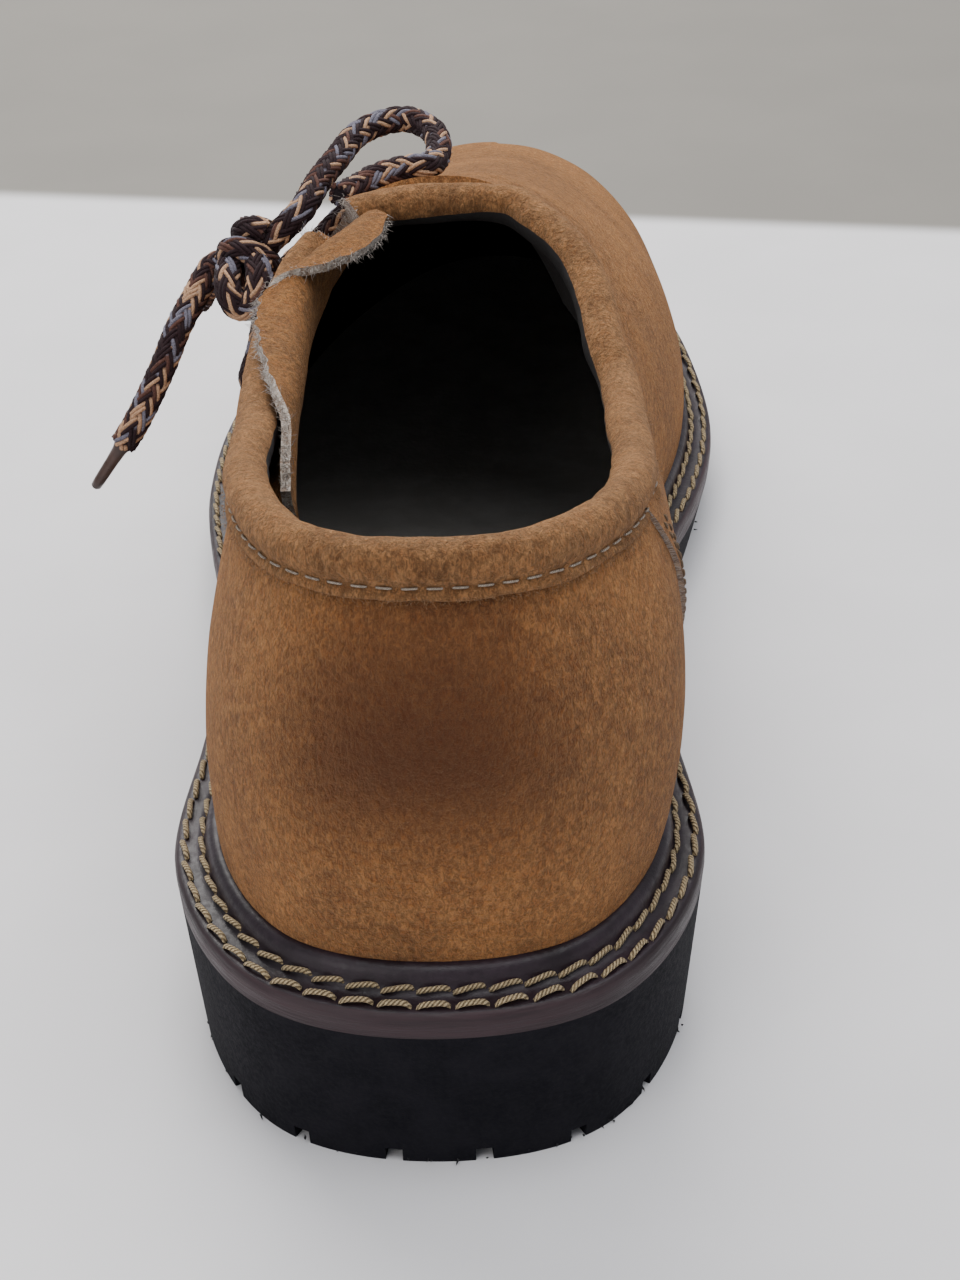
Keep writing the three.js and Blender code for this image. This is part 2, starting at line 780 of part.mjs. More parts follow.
// The band's outer form round the top edge, its section grown by a margin.
function bandForm(margin) {
  const start = toplineRun(vampCorner.x, vampCorner.y) - margin;
  const end = toplineLength + toplineRun(quarterCorner.x, quarterCorner.y) + margin;
  const count = Math.round((end - start) / bandStep);
  const section = bandSection.map(([out, high]) => [
    out + margin * Math.sign(out + wall / 2),
    high + margin * Math.sign(high + 2),
  ]);
  const rings = [];
  for (let i = 0; i <= count; i += 1) {
    const run = start + (end - start) * i / count;
    const { point, normal } = toplineAt(run);
    const along = toplineAt(run + 0.5).point.sub(toplineAt(run - 0.5).point).normalize();
    const up = new THREE.Vector3().crossVectors(along, normal).normalize();
    rings.push(section.map(([out, high]) => point.clone()
      .addScaledVector(normal, out)
      .addScaledVector(up, high)));
  }
  return sweep(rings, false);
}

function buildCollarBand() {
  const core = steppedLast(gap, 4)
    .subtract(lastSolid(-wall - gap, 8))
    .subtract(aboveTopline(gap));
  return largest(bandForm(0).subtract(core));
}

function buildInsole() {
  return plate(
    { offset: -wall - 0.8, height: (y) => midsoleTop(y) + gap },
    { offset: -wall - 0.8, height: (y) => midsoleTop(y) + gap + 3 },
    soleStations,
  );
}

// The tongue lines the lateral side under the slit. Where it stands out of the collar, wall is
// where it leaves the side, crest its highest line and edge its free edge; deep is its depth
// below that in mm and hang how far its foot leans in. A point's z is a share of collarHeight.
const tongueRows = [
  { y: 10, deep: 14, hang: 0.5, wall: [-21.5, 10.0, 0.832], crest: [-21.6, 9.0, 0.868],
    edge: [-21.6, 8.0, 0.894] },
  { y: 20, deep: 22, hang: 2, wall: [-21.9, 20.0, 0.873], crest: [-22.0, 19.5, 0.915],
    edge: [-22.2, 19.0, 0.944] },
  { y: 28, deep: 30, hang: 3, wall: [-22.2, 28.0, 0.889], crest: [-22.6, 27.5, 0.948],
    edge: [-24.6, 27.0, 0.973] },
  { y: 36, deep: 34, hang: 4, wall: [-22.3, 36.0, 0.889], crest: [-22.6, 36.0, 0.960],
    edge: [-26.6, 35.0, 0.981] },
  { y: 44, deep: 38, hang: 5, wall: [-22.3, 44.0, 0.894], crest: [-22.8, 44.0, 0.977],
    edge: [-28.2, 43.0, 0.988] },
  { y: 52, deep: 42, hang: 6, wall: [-22.2, 52.0, 0.899], crest: [-23.2, 52.0, 0.992],
    edge: [-29.0, 51.0, 0.996] },
  { y: 60, deep: 45, hang: 6, wall: [-21.8, 60.0, 0.910], crest: [-22.6, 59.0, 1.008],
    edge: [-28.2, 56.0, 1.008] },
  { y: 66, deep: 47, hang: 5.5, wall: [-21.0, 66.0, 0.920], crest: [-21.2, 64.0, 1.025],
    edge: [-24.4, 59.0, 1.027] },
  { y: 71, deep: 48, hang: 5, wall: [-20.0, 71.0, 0.930], crest: [-18.5, 68.0, 1.040],
    edge: [-18.8, 60.0, 1.037] },
  { y: 76, deep: 50, hang: 4, wall: [-19.0, 76.0, 0.941], crest: [-15.8, 72.0, 1.048],
    edge: [-14.6, 62.5, 1.042] },
  { y: 80, deep: 52, hang: 3, wall: [-18.4, 79.0, 0.946], crest: [-14.2, 75.0, 1.050],
    edge: [-11.4, 67.5, 1.040] },
  { y: 84, deep: 54, hang: 2, wall: [-17.8, 82.0, 0.946], crest: [-12.6, 78.0, 1.050],
    edge: [-9.8, 73.5, 1.042] },
  { y: 87, deep: 55, hang: 1, wall: [-17.0, 84.0, 0.941], crest: [-11.6, 79.6, 1.050],
    edge: [-9.2, 77.5, 1.052] },
];
// In front of its free edge it lies under the vamp; inner is the X that it reaches there.
const tongueFrontRows = [
  { y: 90, inner: -14, deep: 56 },
  { y: 97, inner: -8, deep: 58 },
  { y: 110, inner: 0, deep: 60 },
  { y: 124, inner: 4, deep: 60 },
  { y: 136, inner: 2, deep: 52 },
];
const tongueThick = 1.6;
const tongueSteps = 2;         // columns per row of the tables
const tongueRibs = 5;
const tongueDepth = wall + 0.6;

function skinRowAt(y) {
  let i = 1;
  while (i < skinRows - 1 && skin[i][0].y < y) {
    i += 1;
  }
  const [a, b] = [skin[i - 1][0].y, skin[i][0].y];
  return i - 1 + (y - a) / (b - a);
}

// Points down the side from a height, deep in mm below it, moved in by depth plus hang.
function tongueFoot(y, height, inner, deep, hang) {
  const row = skinRowAt(y);
  let top = 4;
  for (let j = 4; j <= skinColumns * 0.75; j += 0.25) {
    const { point } = skinAt(row, j);
    if (point.z > height || point.x > inner) {
      break;
    }
    top = j;
  }
  const steps = [];
  let run = 0;
  let before = skinAt(row, top).point;
  for (let j = top; j > 0.5 && run < deep; j -= 0.25) {
    const { point, normal } = skinAt(row, j);
    run += point.distanceTo(before);
    before = point;
    const depth = tongueDepth + hang * ease((run + 6) / deep);
    steps.push(point.clone().addScaledVector(normal, -depth));
  }
  const foot = [];
  for (let k = 0; k <= tongueRibs; k += 1) {
    foot.push(steps[Math.round((steps.length - 1) * k / tongueRibs)]);
  }
  return foot;
}

function tonguePoint(at, name) {
  const axis = (k) => read(tongueRows.map((row) => ({ y: row.y, value: row[name][k] })), 'y', 'value', at);
  return new THREE.Vector3(axis(0), axis(1), axis(2) * collarHeight);
}

// A column of the tongue's middle surface from its free edge down to its foot.
function tongueColumn(y) {
  const lastRow = tongueRows[tongueRows.length - 1];
  if (y > lastRow.y) {
    const inner = read(tongueFrontRows, 'y', 'inner', y);
    const foot = tongueFoot(y, Infinity, inner, read(tongueFrontRows, 'y', 'deep', y), 0);
    const lip = [0, 0.25, 0.5, 0.75].map((t) => foot[0].clone().lerp(foot[1], t));
    return [...lip, ...foot.slice(1)];
  }
  const [edge, crest, leave] = ['edge', 'crest', 'wall'].map((name) => tonguePoint(y, name));
  const deep = read(tongueRows, 'y', 'deep', y);
  const foot = tongueFoot(y, leave.z - 5, Infinity, deep, read(tongueRows, 'y', 'hang', y));
  const path = new THREE.CatmullRomCurve3([edge, crest, leave, foot[1]], false, 'centripetal');
  return [...[0, 0.17, 0.34, 0.5].map((t) => path.getPoint(t)), ...foot.slice(1)];
}

// Outer and inner points of the tongue on both sides of its middle surface.
function tonguePairs(columns) {
  return columns.map((column, i) => column.map((point, k) => {
    const ahead = columns[Math.min(i + 1, columns.length - 1)][k].clone()
      .sub(columns[Math.max(i - 1, 0)][k]);
    const down = column[Math.min(k + 1, column.length - 1)].clone().sub(column[Math.max(k - 1, 0)]);
    const normal = new THREE.Vector3().crossVectors(ahead, down).normalize();
    return [-1, 1].map((side) => point.clone().addScaledVector(normal, side * tongueThick / 2));
  }));
}

// A sheet from columns of outer and inner points.
function sheet(columns) {
  const ribsOf = columns[0].length;
  const points = [0, 1].flatMap((face) => columns.flatMap((column) => column.map((pair) => pair[face])));
  const faces = [];
  const at = (face, i, k) => (face * columns.length + i) * ribsOf + k;
  const quad = (a, b, c, d) => faces.push(a, b, c, a, c, d);
  for (let i = 0; i < columns.length - 1; i += 1) {
    for (let k = 0; k < ribsOf - 1; k += 1) {
      quad(at(0, i, k), at(0, i + 1, k), at(0, i + 1, k + 1), at(0, i, k + 1));
      quad(at(1, i, k), at(1, i, k + 1), at(1, i + 1, k + 1), at(1, i + 1, k));
    }
    quad(at(0, i, 0), at(1, i, 0), at(1, i + 1, 0), at(0, i + 1, 0));
    const end = ribsOf - 1;
    quad(at(0, i, end), at(0, i + 1, end), at(1, i + 1, end), at(1, i, end));
  }
  const last = columns.length - 1;
  for (let k = 0; k < ribsOf - 1; k += 1) {
    quad(at(0, 0, k), at(0, 0, k + 1), at(1, 0, k + 1), at(1, 0, k));
    quad(at(0, last, k), at(1, last, k), at(1, last, k + 1), at(0, last, k + 1));
  }
  return solidFrom(points, faces);
}

function buildTongue() {
  const rows = [...tongueRows, ...tongueFrontRows];
  const columns = [];
  for (let i = 0; i < rows.length - 1; i += 1) {
    for (let k = 0; k < tongueSteps; k += 1) {
      columns.push(tongueColumn(rows[i].y + (rows[i + 1].y - rows[i].y) * k / tongueSteps));
    }
  }
  columns.push(tongueColumn(rows[rows.length - 1].y));
  const upperForm = steppedLast(gap, weltHeight).subtract(lastSolid(-wall - gap, weltHeight + 4))
    .subtract(aboveTopline(gap));
  return largest(sheet(tonguePairs(columns)).subtract(bandForm(gap)).subtract(upperForm));
}

// A round cord through places; sides is the count of faces round it.
function cord(places, width, sides, steps) {
  const ring = [];
  for (let i = 0; i < sides; i += 1) {
    const angle = 2 * Math.PI * i / sides;
    ring.push(new THREE.Vector2(width / 2 * Math.cos(angle), width / 2 * Math.sin(angle)));
  }
  const path = new THREE.CatmullRomCurve3(places, false, 'centripetal');
  return solid(new THREE.ExtrudeGeometry(new THREE.Shape(ring), { steps, extrudePath: path }));
}

// Where the lace lies over an eyelet.
function laceOver(index, side, lift) {
  const { point, normal } = eyeletPlace(index, side);
  return point.addScaledVector(normal, cordWidth / 2 + gap + 0.4 + vampStep + lift);
}

function laceSpan(from, to, lift, margin) {
  const [a, b] = [laceOver(...from, 0), laceOver(...to, 0)];
  const { point, normal } = slitPlace((eyeletShares[from[0]] + eyeletShares[to[0]]) / 2);
  const middle = point.addScaledVector(normal, cordWidth / 2 + gap + 1.3 + vampStep + lift);
  return cord([a, middle, b], cordWidth + 2 * margin, 8, 5);
}

// The crossings of the lace, from the lowest eyelets to the top ones.
function buildLaceCrossings(margin) {
  return laceSpan([2, -1], [2, 1], 0, margin)
    .add(laceSpan([2, -1], [1, 1], 0.4, margin))
    .add(laceSpan([2, 1], [1, -1], 0, margin))
    .add(laceSpan([1, -1], [0, 1], 0.4, margin))
    .add(laceSpan([1, 1], [0, -1], 0, margin));
}

// The knot lies over the top eyelets, off the quarter; its loops and ends leave from it.
const knotCentre = [-33.6, 86.5, 90.5];
const knotSize = [12.5, 17, 14];
const largeLoopRows = [
  [-31.0, 86.5, 92.5], [-24.9, 88.0, 98.0], [-22.3, 95.5, 100.3], [-19.4, 103.6, 101.6],
  [-16.2, 112.3, 102.8], [-12.0, 116.1, 103.6], [-7.5, 116.9, 104.0], [-3.0, 112.4, 103.7],
  [-1.3, 106.4, 102.9], [-1.7, 101.1, 102.1], [-3.7, 97.2, 102.5], [-7.3, 96.7, 102.2],
  [-12.0, 94.9, 101.5], [-15.1, 91.8, 100.9], [-17.9, 87.4, 101.1],
];
const smallLoopRows = [
  [-32.0, 82.0, 91.4], [-31.6, 78.5, 89.6], [-32.0, 77.0, 87.3], [-33.3, 76.5, 85.7],
  [-35.0, 76.5, 85.3], [-36.5, 77.0, 86.8], [-37.2, 79.0, 88.7], [-37.2, 83.0, 90.3],
];
const nearEndRows = [
  [-36.5, 87.5, 89.5], [-40.7, 89.7, 87.5], [-44.0, 85.1, 83.5], [-46.5, 80.3, 80.0],
  [-48.7, 76.2, 75.5], [-51.7, 72.6, 70.0], [-54.5, 70.1, 65.5], [-56.2, 70.1, 63.0],
];
const farEndRows = [
  [-34.4, 91.0, 87.5], [-35.5, 97.5, 84.5], [-39.0, 105.0, 81.5], [-42.6, 113.0, 76.5],
  [-45.6, 121.5, 71.0], [-48.2, 129.5, 65.5], [-50.4, 137.0, 60.0],
];
const agletWidth = 2.6;
const agletLength = 10;

const placesOf = (rows) => rows.map(([x, y, z]) => new THREE.Vector3(x, y, z));

function knotForm(margin) {
  const lump = new THREE.SphereGeometry(0.5, 14, 10);
  lump.scale(...knotSize.map((size) => size + 2 * margin));
  lump.translate(...knotCentre);
  return solid(lump);
}

function buildKnot() {
  return largest(knotForm(0).subtract(buildLaceCrossings(gap)));
}

// A loop or end of the lace, from the knot's outside on.
function buildFromKnot(rows, steps) {
  return largest(cord(placesOf(rows), cordWidth, 8, steps).subtract(knotForm(gap)));
}

function buildAglet(rows) {
  const places = placesOf(rows);
  const tip = places[places.length - 1];
  const away = tip.clone().sub(places[places.length - 2]).normalize();
  const start = tip.clone().addScaledVector(away, gap);
  const end = start.clone().addScaledVector(away, agletLength);
  return cord([start, start.clone().lerp(end, 0.5), end], agletWidth, 8, 2);
}

const laceLook = { color: 0x3b2d30, roughness: 0.8, metalness: 0 };
const agletLook = { color: 0x4a2c24, roughness: 0.4, metalness: 0 };
const group = new THREE.Group();
group.name = 'haferl_shoe';
const pieces = [
  ['outsole', buildOutsole(), { color: 0x1d1c20, roughness: 0.85, metalness: 0 }],
  ['midsole', buildMidsole(), { color: 0x4a3634, roughness: 0.6, metalness: 0 }],
  ['welt', buildWelt(), { color: 0x38303a, roughness: 0.5, metalness: 0 }],
  ['upper', buildUpper(), { color: 0x96663c, roughness: 0.95, metalness: 0 }],
  ['collar_band', buildCollarBand(), { color: 0x85603e, roughness: 0.95, metalness: 0 }],
  ['tongue', buildTongue(), { color: 0x7a5433, roughness: 0.95, metalness: 0 }],
  ['lace_crossings', buildLaceCrossings(0), laceLook],
  ['lace_knot', buildKnot(), laceLook],
  ['lace_loop_large', buildFromKnot(largeLoopRows, 20), laceLook],
  ['lace_loop_small', buildFromKnot(smallLoopRows, 9), laceLook],
  ['lace_end_near', buildFromKnot(nearEndRows, 9), laceLook],
  ['lace_end_far', buildFromKnot(farEndRows, 8), laceLook],
  ['aglet_near', buildAglet(nearEndRows), agletLook],
  ['aglet_far', buildAglet(farEndRows), agletLook],
  ['insole', buildInsole(), { color: 0xc9c6c0, roughness: 0.8, metalness: 0 }],
];
for (const [name, manifold, look] of pieces) {
  group.add(meshOf(manifold, name, look));
}

export default group;
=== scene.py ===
import math
import random
import bpy
import numpy as np
from mathutils import Matrix, Vector, noise


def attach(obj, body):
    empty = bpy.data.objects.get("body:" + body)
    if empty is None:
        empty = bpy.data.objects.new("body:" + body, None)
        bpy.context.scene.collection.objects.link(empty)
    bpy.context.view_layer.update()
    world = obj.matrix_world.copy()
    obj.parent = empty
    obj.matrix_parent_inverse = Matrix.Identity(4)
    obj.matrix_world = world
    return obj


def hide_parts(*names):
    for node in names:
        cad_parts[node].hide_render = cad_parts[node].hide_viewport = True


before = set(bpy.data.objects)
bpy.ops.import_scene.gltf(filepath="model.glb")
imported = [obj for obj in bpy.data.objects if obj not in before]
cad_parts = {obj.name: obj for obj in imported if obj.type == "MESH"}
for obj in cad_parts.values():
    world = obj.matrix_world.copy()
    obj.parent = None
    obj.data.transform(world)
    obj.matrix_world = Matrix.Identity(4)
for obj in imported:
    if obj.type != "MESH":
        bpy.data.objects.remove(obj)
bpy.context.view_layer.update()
mm = 0.001          # lengths below are in mm; meshes are made in metres
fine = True

# A left haferl shoe: toe along +Y, medial side +X, up +Z, origin under the heel.
shoe = {
    "lastLength": 283.0, "heelHalfWidth": 33.5, "ballHalfWidth": 45.5, "instepHeight": 83.0,
    "heelRubber": 25.6, "foreRubber": 9.9, "flange": 7.5, "heelFlange": 0.7,
    "brownHeight": 4.4, "weltHeight": 2.1, "wall": 2.0, "vampStep": 0.9,
    "gap": 0.3, "collarHeight": 96.2, "cordWidth": 4.4, "throatArch": 0.022,
}
heelCentre = 0.127 * shoe["lastLength"]
lastNames = ("along", "lateral", "medial", "lag", "crest", "lean", "power", "swell", "bulge", "tuck")
lastRows = [
    (0.000, 0.000, 0.000, 0, 1.350, 0.5, 2.30, 1.2, 1.2, 0.00),
    (0.023, 0.646, 0.646, 0, 1.350, 0.5, 2.30, 1.2, 1.4, 0.15),
    (0.106, 1.000, 0.985, 0, 1.350, 1.0, 2.30, 1.6, 4.0, 0.42),
    (0.219, 0.980, 0.919, 0, 1.350, 1.0, 2.50, 1.8, 6.2, 0.50),
    (0.325, 0.889, 0.787, 0, 1.250, 0.5, 3.40, 2.4, 6.4, 0.90),
    (0.431, 0.870, 0.711, 1, 1.010, 0.0, 2.40, 2.0, 5.2, 0.10),
    (0.530, 0.926, 0.755, 1, 0.920, 2.5, 2.00, 2.0, 3.2, 0.00),
    (0.629, 0.989, 0.905, 2, 0.825, 5.0, 1.90, 2.2, 2.2, 0.00),
    (0.728, 0.974, 1.005, 3, 0.718, 6.0, 1.90, 2.4, 2.0, 0.00),
    (0.823, 0.842, 0.980, 4, 0.607, 6.5, 2.00, 2.4, 1.8, 0.00),
    (0.915, 0.571, 0.850, 4, 0.480, 7.5, 2.15, 2.4, 1.8, 0.00),
    (0.982, 0.198, 0.582, 3, 0.265, 8.5, 2.20, 2.0, 1.8, 0.00),
    (1.000, -0.198, 0.198, 0, 0.000, 9.0, 2.20, 1.8, 1.8, 0.00),
]
backRows = [(0, 0), (10, -2), (22, -3.2), (36, -2), (50, 1.4), (68, 7.5), (90, 13), (120, 17)]
dropRows = [(-.05, 0), (.18, .02), (.27, .11), (.35, .37), (.46, .68), (.565, .90), (.67, 1),
            (.775, .95), (.885, .76), (.97, .52), (1.06, .22)]
toplineRows = [
    (-0.200, 1.000, 1.000), (0.020, 1.000, 1.000), (0.092, 0.985, 0.975), (0.163, 0.955, 0.940),
    (0.233, 0.935, 0.915), (0.304, 0.940, 0.910), (0.357, 0.970, 0.935), (0.394, 1.000, 0.975),
    (0.420, 1.035, 1.030), (0.437, 1.085, 1.085), (0.454, 1.200, 1.200),
]


def table(rows, key, value):
    return np.array([row[key] for row in rows], float), np.array([row[value] for row in rows], float)


# Reads a table at one place or many, with a monotone cubic between its rows.
def read(pair, at):
    xs, ys = pair
    at = np.clip(np.asarray(at, float), xs[0], xs[-1])
    slope = np.diff(ys) / np.diff(xs)
    before, after = slope[:-1], slope[1:]
    both = before * after
    total = before + after
    inner = np.where(both > 0, 2 * both / np.where(total == 0, 1, total), 0)
    tangent = np.concatenate([[slope[0]], inner, [slope[-1]]])
    k = np.clip(np.searchsorted(xs, at, side="left") - 1, 0, len(xs) - 2)
    width = xs[k + 1] - xs[k]
    t = (at - xs[k]) / width
    return (ys[k] * (1 + 2 * t) * (1 - t) ** 2 + ys[k + 1] * t * t * (3 - 2 * t)
            + tangent[k] * width * t * (1 - t) ** 2 + tangent[k + 1] * width * t * t * (t - 1))


# Lengths along a chain of points, and values of such a chain read at some length.
def runOf(points):
    return np.concatenate([[0], np.cumsum(np.linalg.norm(np.diff(points, axis=0), axis=1))])


def valuesAt(goal, run, values):
    return np.stack([np.interp(goal, run, values[:, k]) for k in range(values.shape[1])], -1)


def ease(value):
    t = np.clip(value, 0, 1)
    return t * t * (3 - 2 * t)


def share(y):
    return (y + heelCentre) / shoe["lastLength"]


def place(along):
    return along * shoe["lastLength"] - heelCentre


dropTable = table(dropRows, 0, 1)
backTable = table(backRows, 0, 1)
rowIndex = np.arange(len(lastRows), dtype=float)
lastTable = {name: (rowIndex, table(lastRows, 0, k)[1]) for k, name in enumerate(lastNames)}
rowCount = len(lastRows) - 1


def girth(along):
    return shoe["heelHalfWidth"] + (shoe["ballHalfWidth"] - shoe["heelHalfWidth"]) * ease((along - .2) / .4)


def rubberTop(y):
    return shoe["heelRubber"] - (shoe["heelRubber"] - shoe["foreRubber"]) * read(dropTable, share(y))


def weltTop(y):
    return rubberTop(y) + shoe["brownHeight"]


def midsoleTop(y):
    return weltTop(y) - shoe["weltHeight"] - shoe["gap"]


def treadLevel(y):
    return 11.5 * ease((share(y) - 0.76) / 0.34)


featherPoints = np.array(
    [(-row[1] * girth(row[0]), place(row[0])) for row in lastRows]
    + [(row[2] * girth(row[0]), place(row[0]) - row[3]) for row in lastRows[-2:0:-1]])


# The sole's feather edge as a closed curve; turn runs 0 to 1 from the heel by the lateral side.
def featherAt(turn):
    count = len(featherPoints)
    p = (np.asarray(turn, float) % 1) * count
    i = np.floor(p).astype(int)
    w = (p - i)[..., None]
    a, b, c, d = [featherPoints[(i + k) % count] for k in (-1, 0, 1, 2)]
    m, n = (c - a) / 2, (d - b) / 2
    point = (2 * w**3 - 3 * w**2 + 1) * b + (w**3 - 2 * w**2 + w) * m \
        + (3 * w**2 - 2 * w**3) * c + (w**3 - w**2) * n
    tangent = (6 * w**2 - 6 * w) * b + (3 * w**2 - 4 * w + 1) * m \
        + (6 * w - 6 * w**2) * c + (3 * w**2 - 2 * w) * n
    tangent = tangent / np.linalg.norm(tangent, axis=-1, keepdims=True)
    return point, np.stack([-tangent[..., 1], tangent[..., 0]], -1)


def outline(offset, turns):
    point, normal = featherAt(turns)
    back = np.clip(1 - (point[:, 1] + heelCentre) / 30, 0, 1) * shoe["heelFlange"] * np.sign(offset)
    moved = point + normal * offset
    moved[:, 1] -= back
    return moved


def section(t, count):
    crest = read(lastTable["crest"], t) * shoe["instepHeight"]
    lean = read(lastTable["lean"], t)
    power = read(lastTable["power"], t)
    tuck = read(lastTable["tuck"], t)
    turn = t / (2 * rowCount)
    left, right = featherAt(np.array([turn, 1 - turn]))[0]
    middle = (left[1] + right[1]) / 2
    angle = np.linspace(0, math.pi, 361)
    lateral = angle <= math.pi / 2 + 1e-9
    bend = 2 / np.where(lateral, power - tuck, power)
    out = np.abs(np.cos(angle)) ** bend
    height = crest * np.abs(np.sin(angle)) ** bend
    endX = np.where(lateral, left[0], right[0])
    endY = np.where(lateral, left[1], right[1])
    x = lean + (endX - lean) * out
    y = middle + (endY - middle) * out
    y = y + read(backTable, height) * (1 - ease((y + heelCentre) / 95))
    dense = np.stack([x, y, weltTop(y) + height], -1)
    run = runOf(dense)
    return valuesAt(np.linspace(0, run[-1], count + 1), run, dense)


def stationAt(i, count):
    u = i / count
    return rowCount * (0.72 * u + 0.28 * (1 - math.cos(math.pi * u)) / 2)


# Soft waves and the flex creases of the leather, in mm along the outward normal.
creases = {
    "waves": 0.22,                # height of the broad unevenness
    "waveSize": 26.0,
    "flex": [                     # y, slant, half width, depth, reach across
        (126.0, 0.10, 4.5, 0.55, 34.0),
        (138.0, 0.06, 5.0, 0.45, 36.0),
        (112.0, 0.14, 4.0, 0.35, 26.0),
    ],
    "counter": [(-25.0, 34.0, 0.5), (25.0, 30.0, 0.45)],   # x side, y and height of its ridge
}


def relief(point):
    x, y, z = point
    size = creases["waveSize"]
    high = creases["waves"] * noise.fractal(Vector((x / size, y / size, z / size)), 1.0, 2.0, 3)
    for line, slant, half, depth, reach in creases["flex"]:
        far = (y - line - slant * x) / half
        if abs(far) < 2.5 and z > 30:
            side = max(0.0, 1 - ((x - 4) / reach) ** 2)
            high += depth * side * (0.5 * math.exp(-(abs(far) - 1.3) ** 2 * 3) - math.exp(-far * far * 1.6))
    for sideX, ridge, height in creases["counter"]:
        if x * sideX > 0:
            far = (y - ridge - 0.12 * (z - 60)) / 4.0
            high += height * math.exp(-far * far) * max(0.0, 1 - abs(z - 55) / 30)
    return high


def lastGrid(offset, drop, rows, columns, live=False):
    base = np.array([section(stationAt(i, rows), columns) for i in range(rows + 1)])
    ahead = np.empty_like(base)
    ahead[1:-1] = base[2:] - base[:-2]
    ahead[0] = base[1] - base[0]
    ahead[-1] = base[-1] - base[-2]
    over = np.empty_like(base)
    over[:, 1:-1] = base[:, 2:] - base[:, :-2]
    over[:, 0] = base[:, 1] - base[:, 0]
    over[:, -1] = base[:, -1] - base[:, -2]
    normal = np.cross(over, ahead)
    normal /= np.maximum(np.linalg.norm(normal, axis=2, keepdims=True), 1e-9)
    normal[0] = (0, -1, 0)
    normal[-1] = (0, 1, 0)
    t = np.array([stationAt(i, rows) for i in range(rows + 1)])[:, None]
    height = base[..., 2] - weltTop(base[..., 1])
    rise = np.clip(height / np.where(base[..., 1] < place(0.5), 62, 46), 0, 1)
    lateral = np.arange(columns + 1)[None, :] * 2 <= columns
    full = np.where(lateral, read(lastTable["swell"], t), read(lastTable["bulge"], t))
    out = offset + full * 4 * rise * (1 - rise)
    if live:
        fade = np.clip(rise * 6, 0, 1)
        out = out + fade * np.array([[relief(p) for p in row] for row in base])
    grid = base + normal * out[..., None]
    if drop > 0:
        down = np.array([0, 0, -drop])
        grid = np.concatenate([grid[:, :1] + down, grid, grid[:, -1:] + down], 1)
    return grid


# Joins points that coincide and drops faces that collapse.
def weld(points, faces):
    key = np.round(np.asarray(points) / 1e-4).astype(np.int64)
    _, first, index = np.unique(key, axis=0, return_index=True, return_inverse=True)
    index = index.reshape(-1)
    kept = []
    for face in faces:
        loop = []
        for corner in face:
            at = int(index[corner])
            if at not in loop:
                loop.append(at)
        if len(loop) > 2:
            kept.append(loop)
    return np.asarray(points)[first], kept


def makeObject(name, points, faces, slots, indices=None, smooth=True):
    mesh = bpy.data.meshes.new(name)
    mesh.from_pydata((np.asarray(points) * mm).tolist(), [], faces)
    for material in slots:
        mesh.materials.append(material)
    if indices is not None:
        mesh.polygons.foreach_set("material_index", np.asarray(indices, np.int32))
    if smooth:
        mesh.shade_smooth()
    mesh.update()
    made = bpy.data.objects.new(name, mesh)
    bpy.context.scene.collection.objects.link(made)
    return made


# Gives each point its own colour, for the yarn materials.
def paintYarn(made, colours):
    layer = made.data.color_attributes.new("yarn", "FLOAT_COLOR", "POINT")
    layer.data.foreach_set("color", np.column_stack([colours, np.ones(len(colours))]).ravel())


# Signed volume tells whether the faces of a closed mesh point out.
def outward(points, faces):
    points = np.asarray(points)
    total = 0.0
    for face in faces:
        for k in range(1, len(face) - 1):
            total += np.dot(points[face[0]], np.cross(points[face[k]], points[face[k + 1]]))
    return faces if total > 0 else [face[::-1] for face in faces]


def closed(name, points, faces, slots, index=0):
    points, faces = weld(points, faces)
    faces = outward(points, faces)
    return makeObject(name, points, faces, slots, [index] * len(faces))


def tunnel(name, grid, slots, index=0):
    rows, columns = grid.shape[:2]
    faces = []
    for i in range(rows - 1):
        a, b = i * columns, (i + 1) * columns
        for j in range(columns - 1):
            faces.append([a + j, a + j + 1, b + j + 1, b + j])
        faces.append([a + columns - 1, a, b, b + columns - 1])
    return closed(name, grid.reshape(-1, 3), faces, slots, index)


def sweepFaces(rings, size, loop):
    faces = []
    for i in range(rings if loop else rings - 1):
        a, b = i * size, (i + 1) % rings * size
        for j in range(size):
            n = (j + 1) % size
            faces.append([a + j, b + j, b + n, a + n])
    if not loop:
        faces.append(list(range(size)))
        faces.append(list(range((rings - 1) * size, rings * size))[::-1])
    return faces


def sweep(name, rings, loop, slots, index=0):
    rings = np.asarray(rings)
    return closed(name, rings.reshape(-1, 3), sweepFaces(len(rings), rings.shape[1], loop), slots, index)


# A slab between two outlines, each given by its offset and its height over y.
def plate(name, lower, upper, turns, slots):
    rings = []
    for offset, height in (lower, upper):
        flat = outline(offset, turns)
        rings.append(np.column_stack([flat, height(flat[:, 1])]))
    count = len(turns)
    faces = [[i, (i + 1) % count, count + (i + 1) % count, count + i] for i in range(count)]
    for i in range(count // 2):
        a, b, c, d = i, i + 1, (count - i) % count, count - i - 1
        faces.append([a, c, d, b] if a != c else [a, d, b])
        faces.append([count + k for k in ((a, b, d, c) if a != c else (a, b, d))])
    return closed(name, np.concatenate(rings), faces, slots)


# Evaluates an object's modifiers into a plain mesh.
def settle(piece):
    bpy.context.view_layer.update()
    graph = bpy.context.evaluated_depsgraph_get()
    mesh = bpy.data.meshes.new_from_object(piece.evaluated_get(graph))
    piece.modifiers.clear()
    old = piece.data
    piece.data = mesh
    bpy.data.meshes.remove(old)


def discard(piece):
    mesh = piece.data
    bpy.data.objects.remove(piece)
    bpy.data.meshes.remove(mesh)


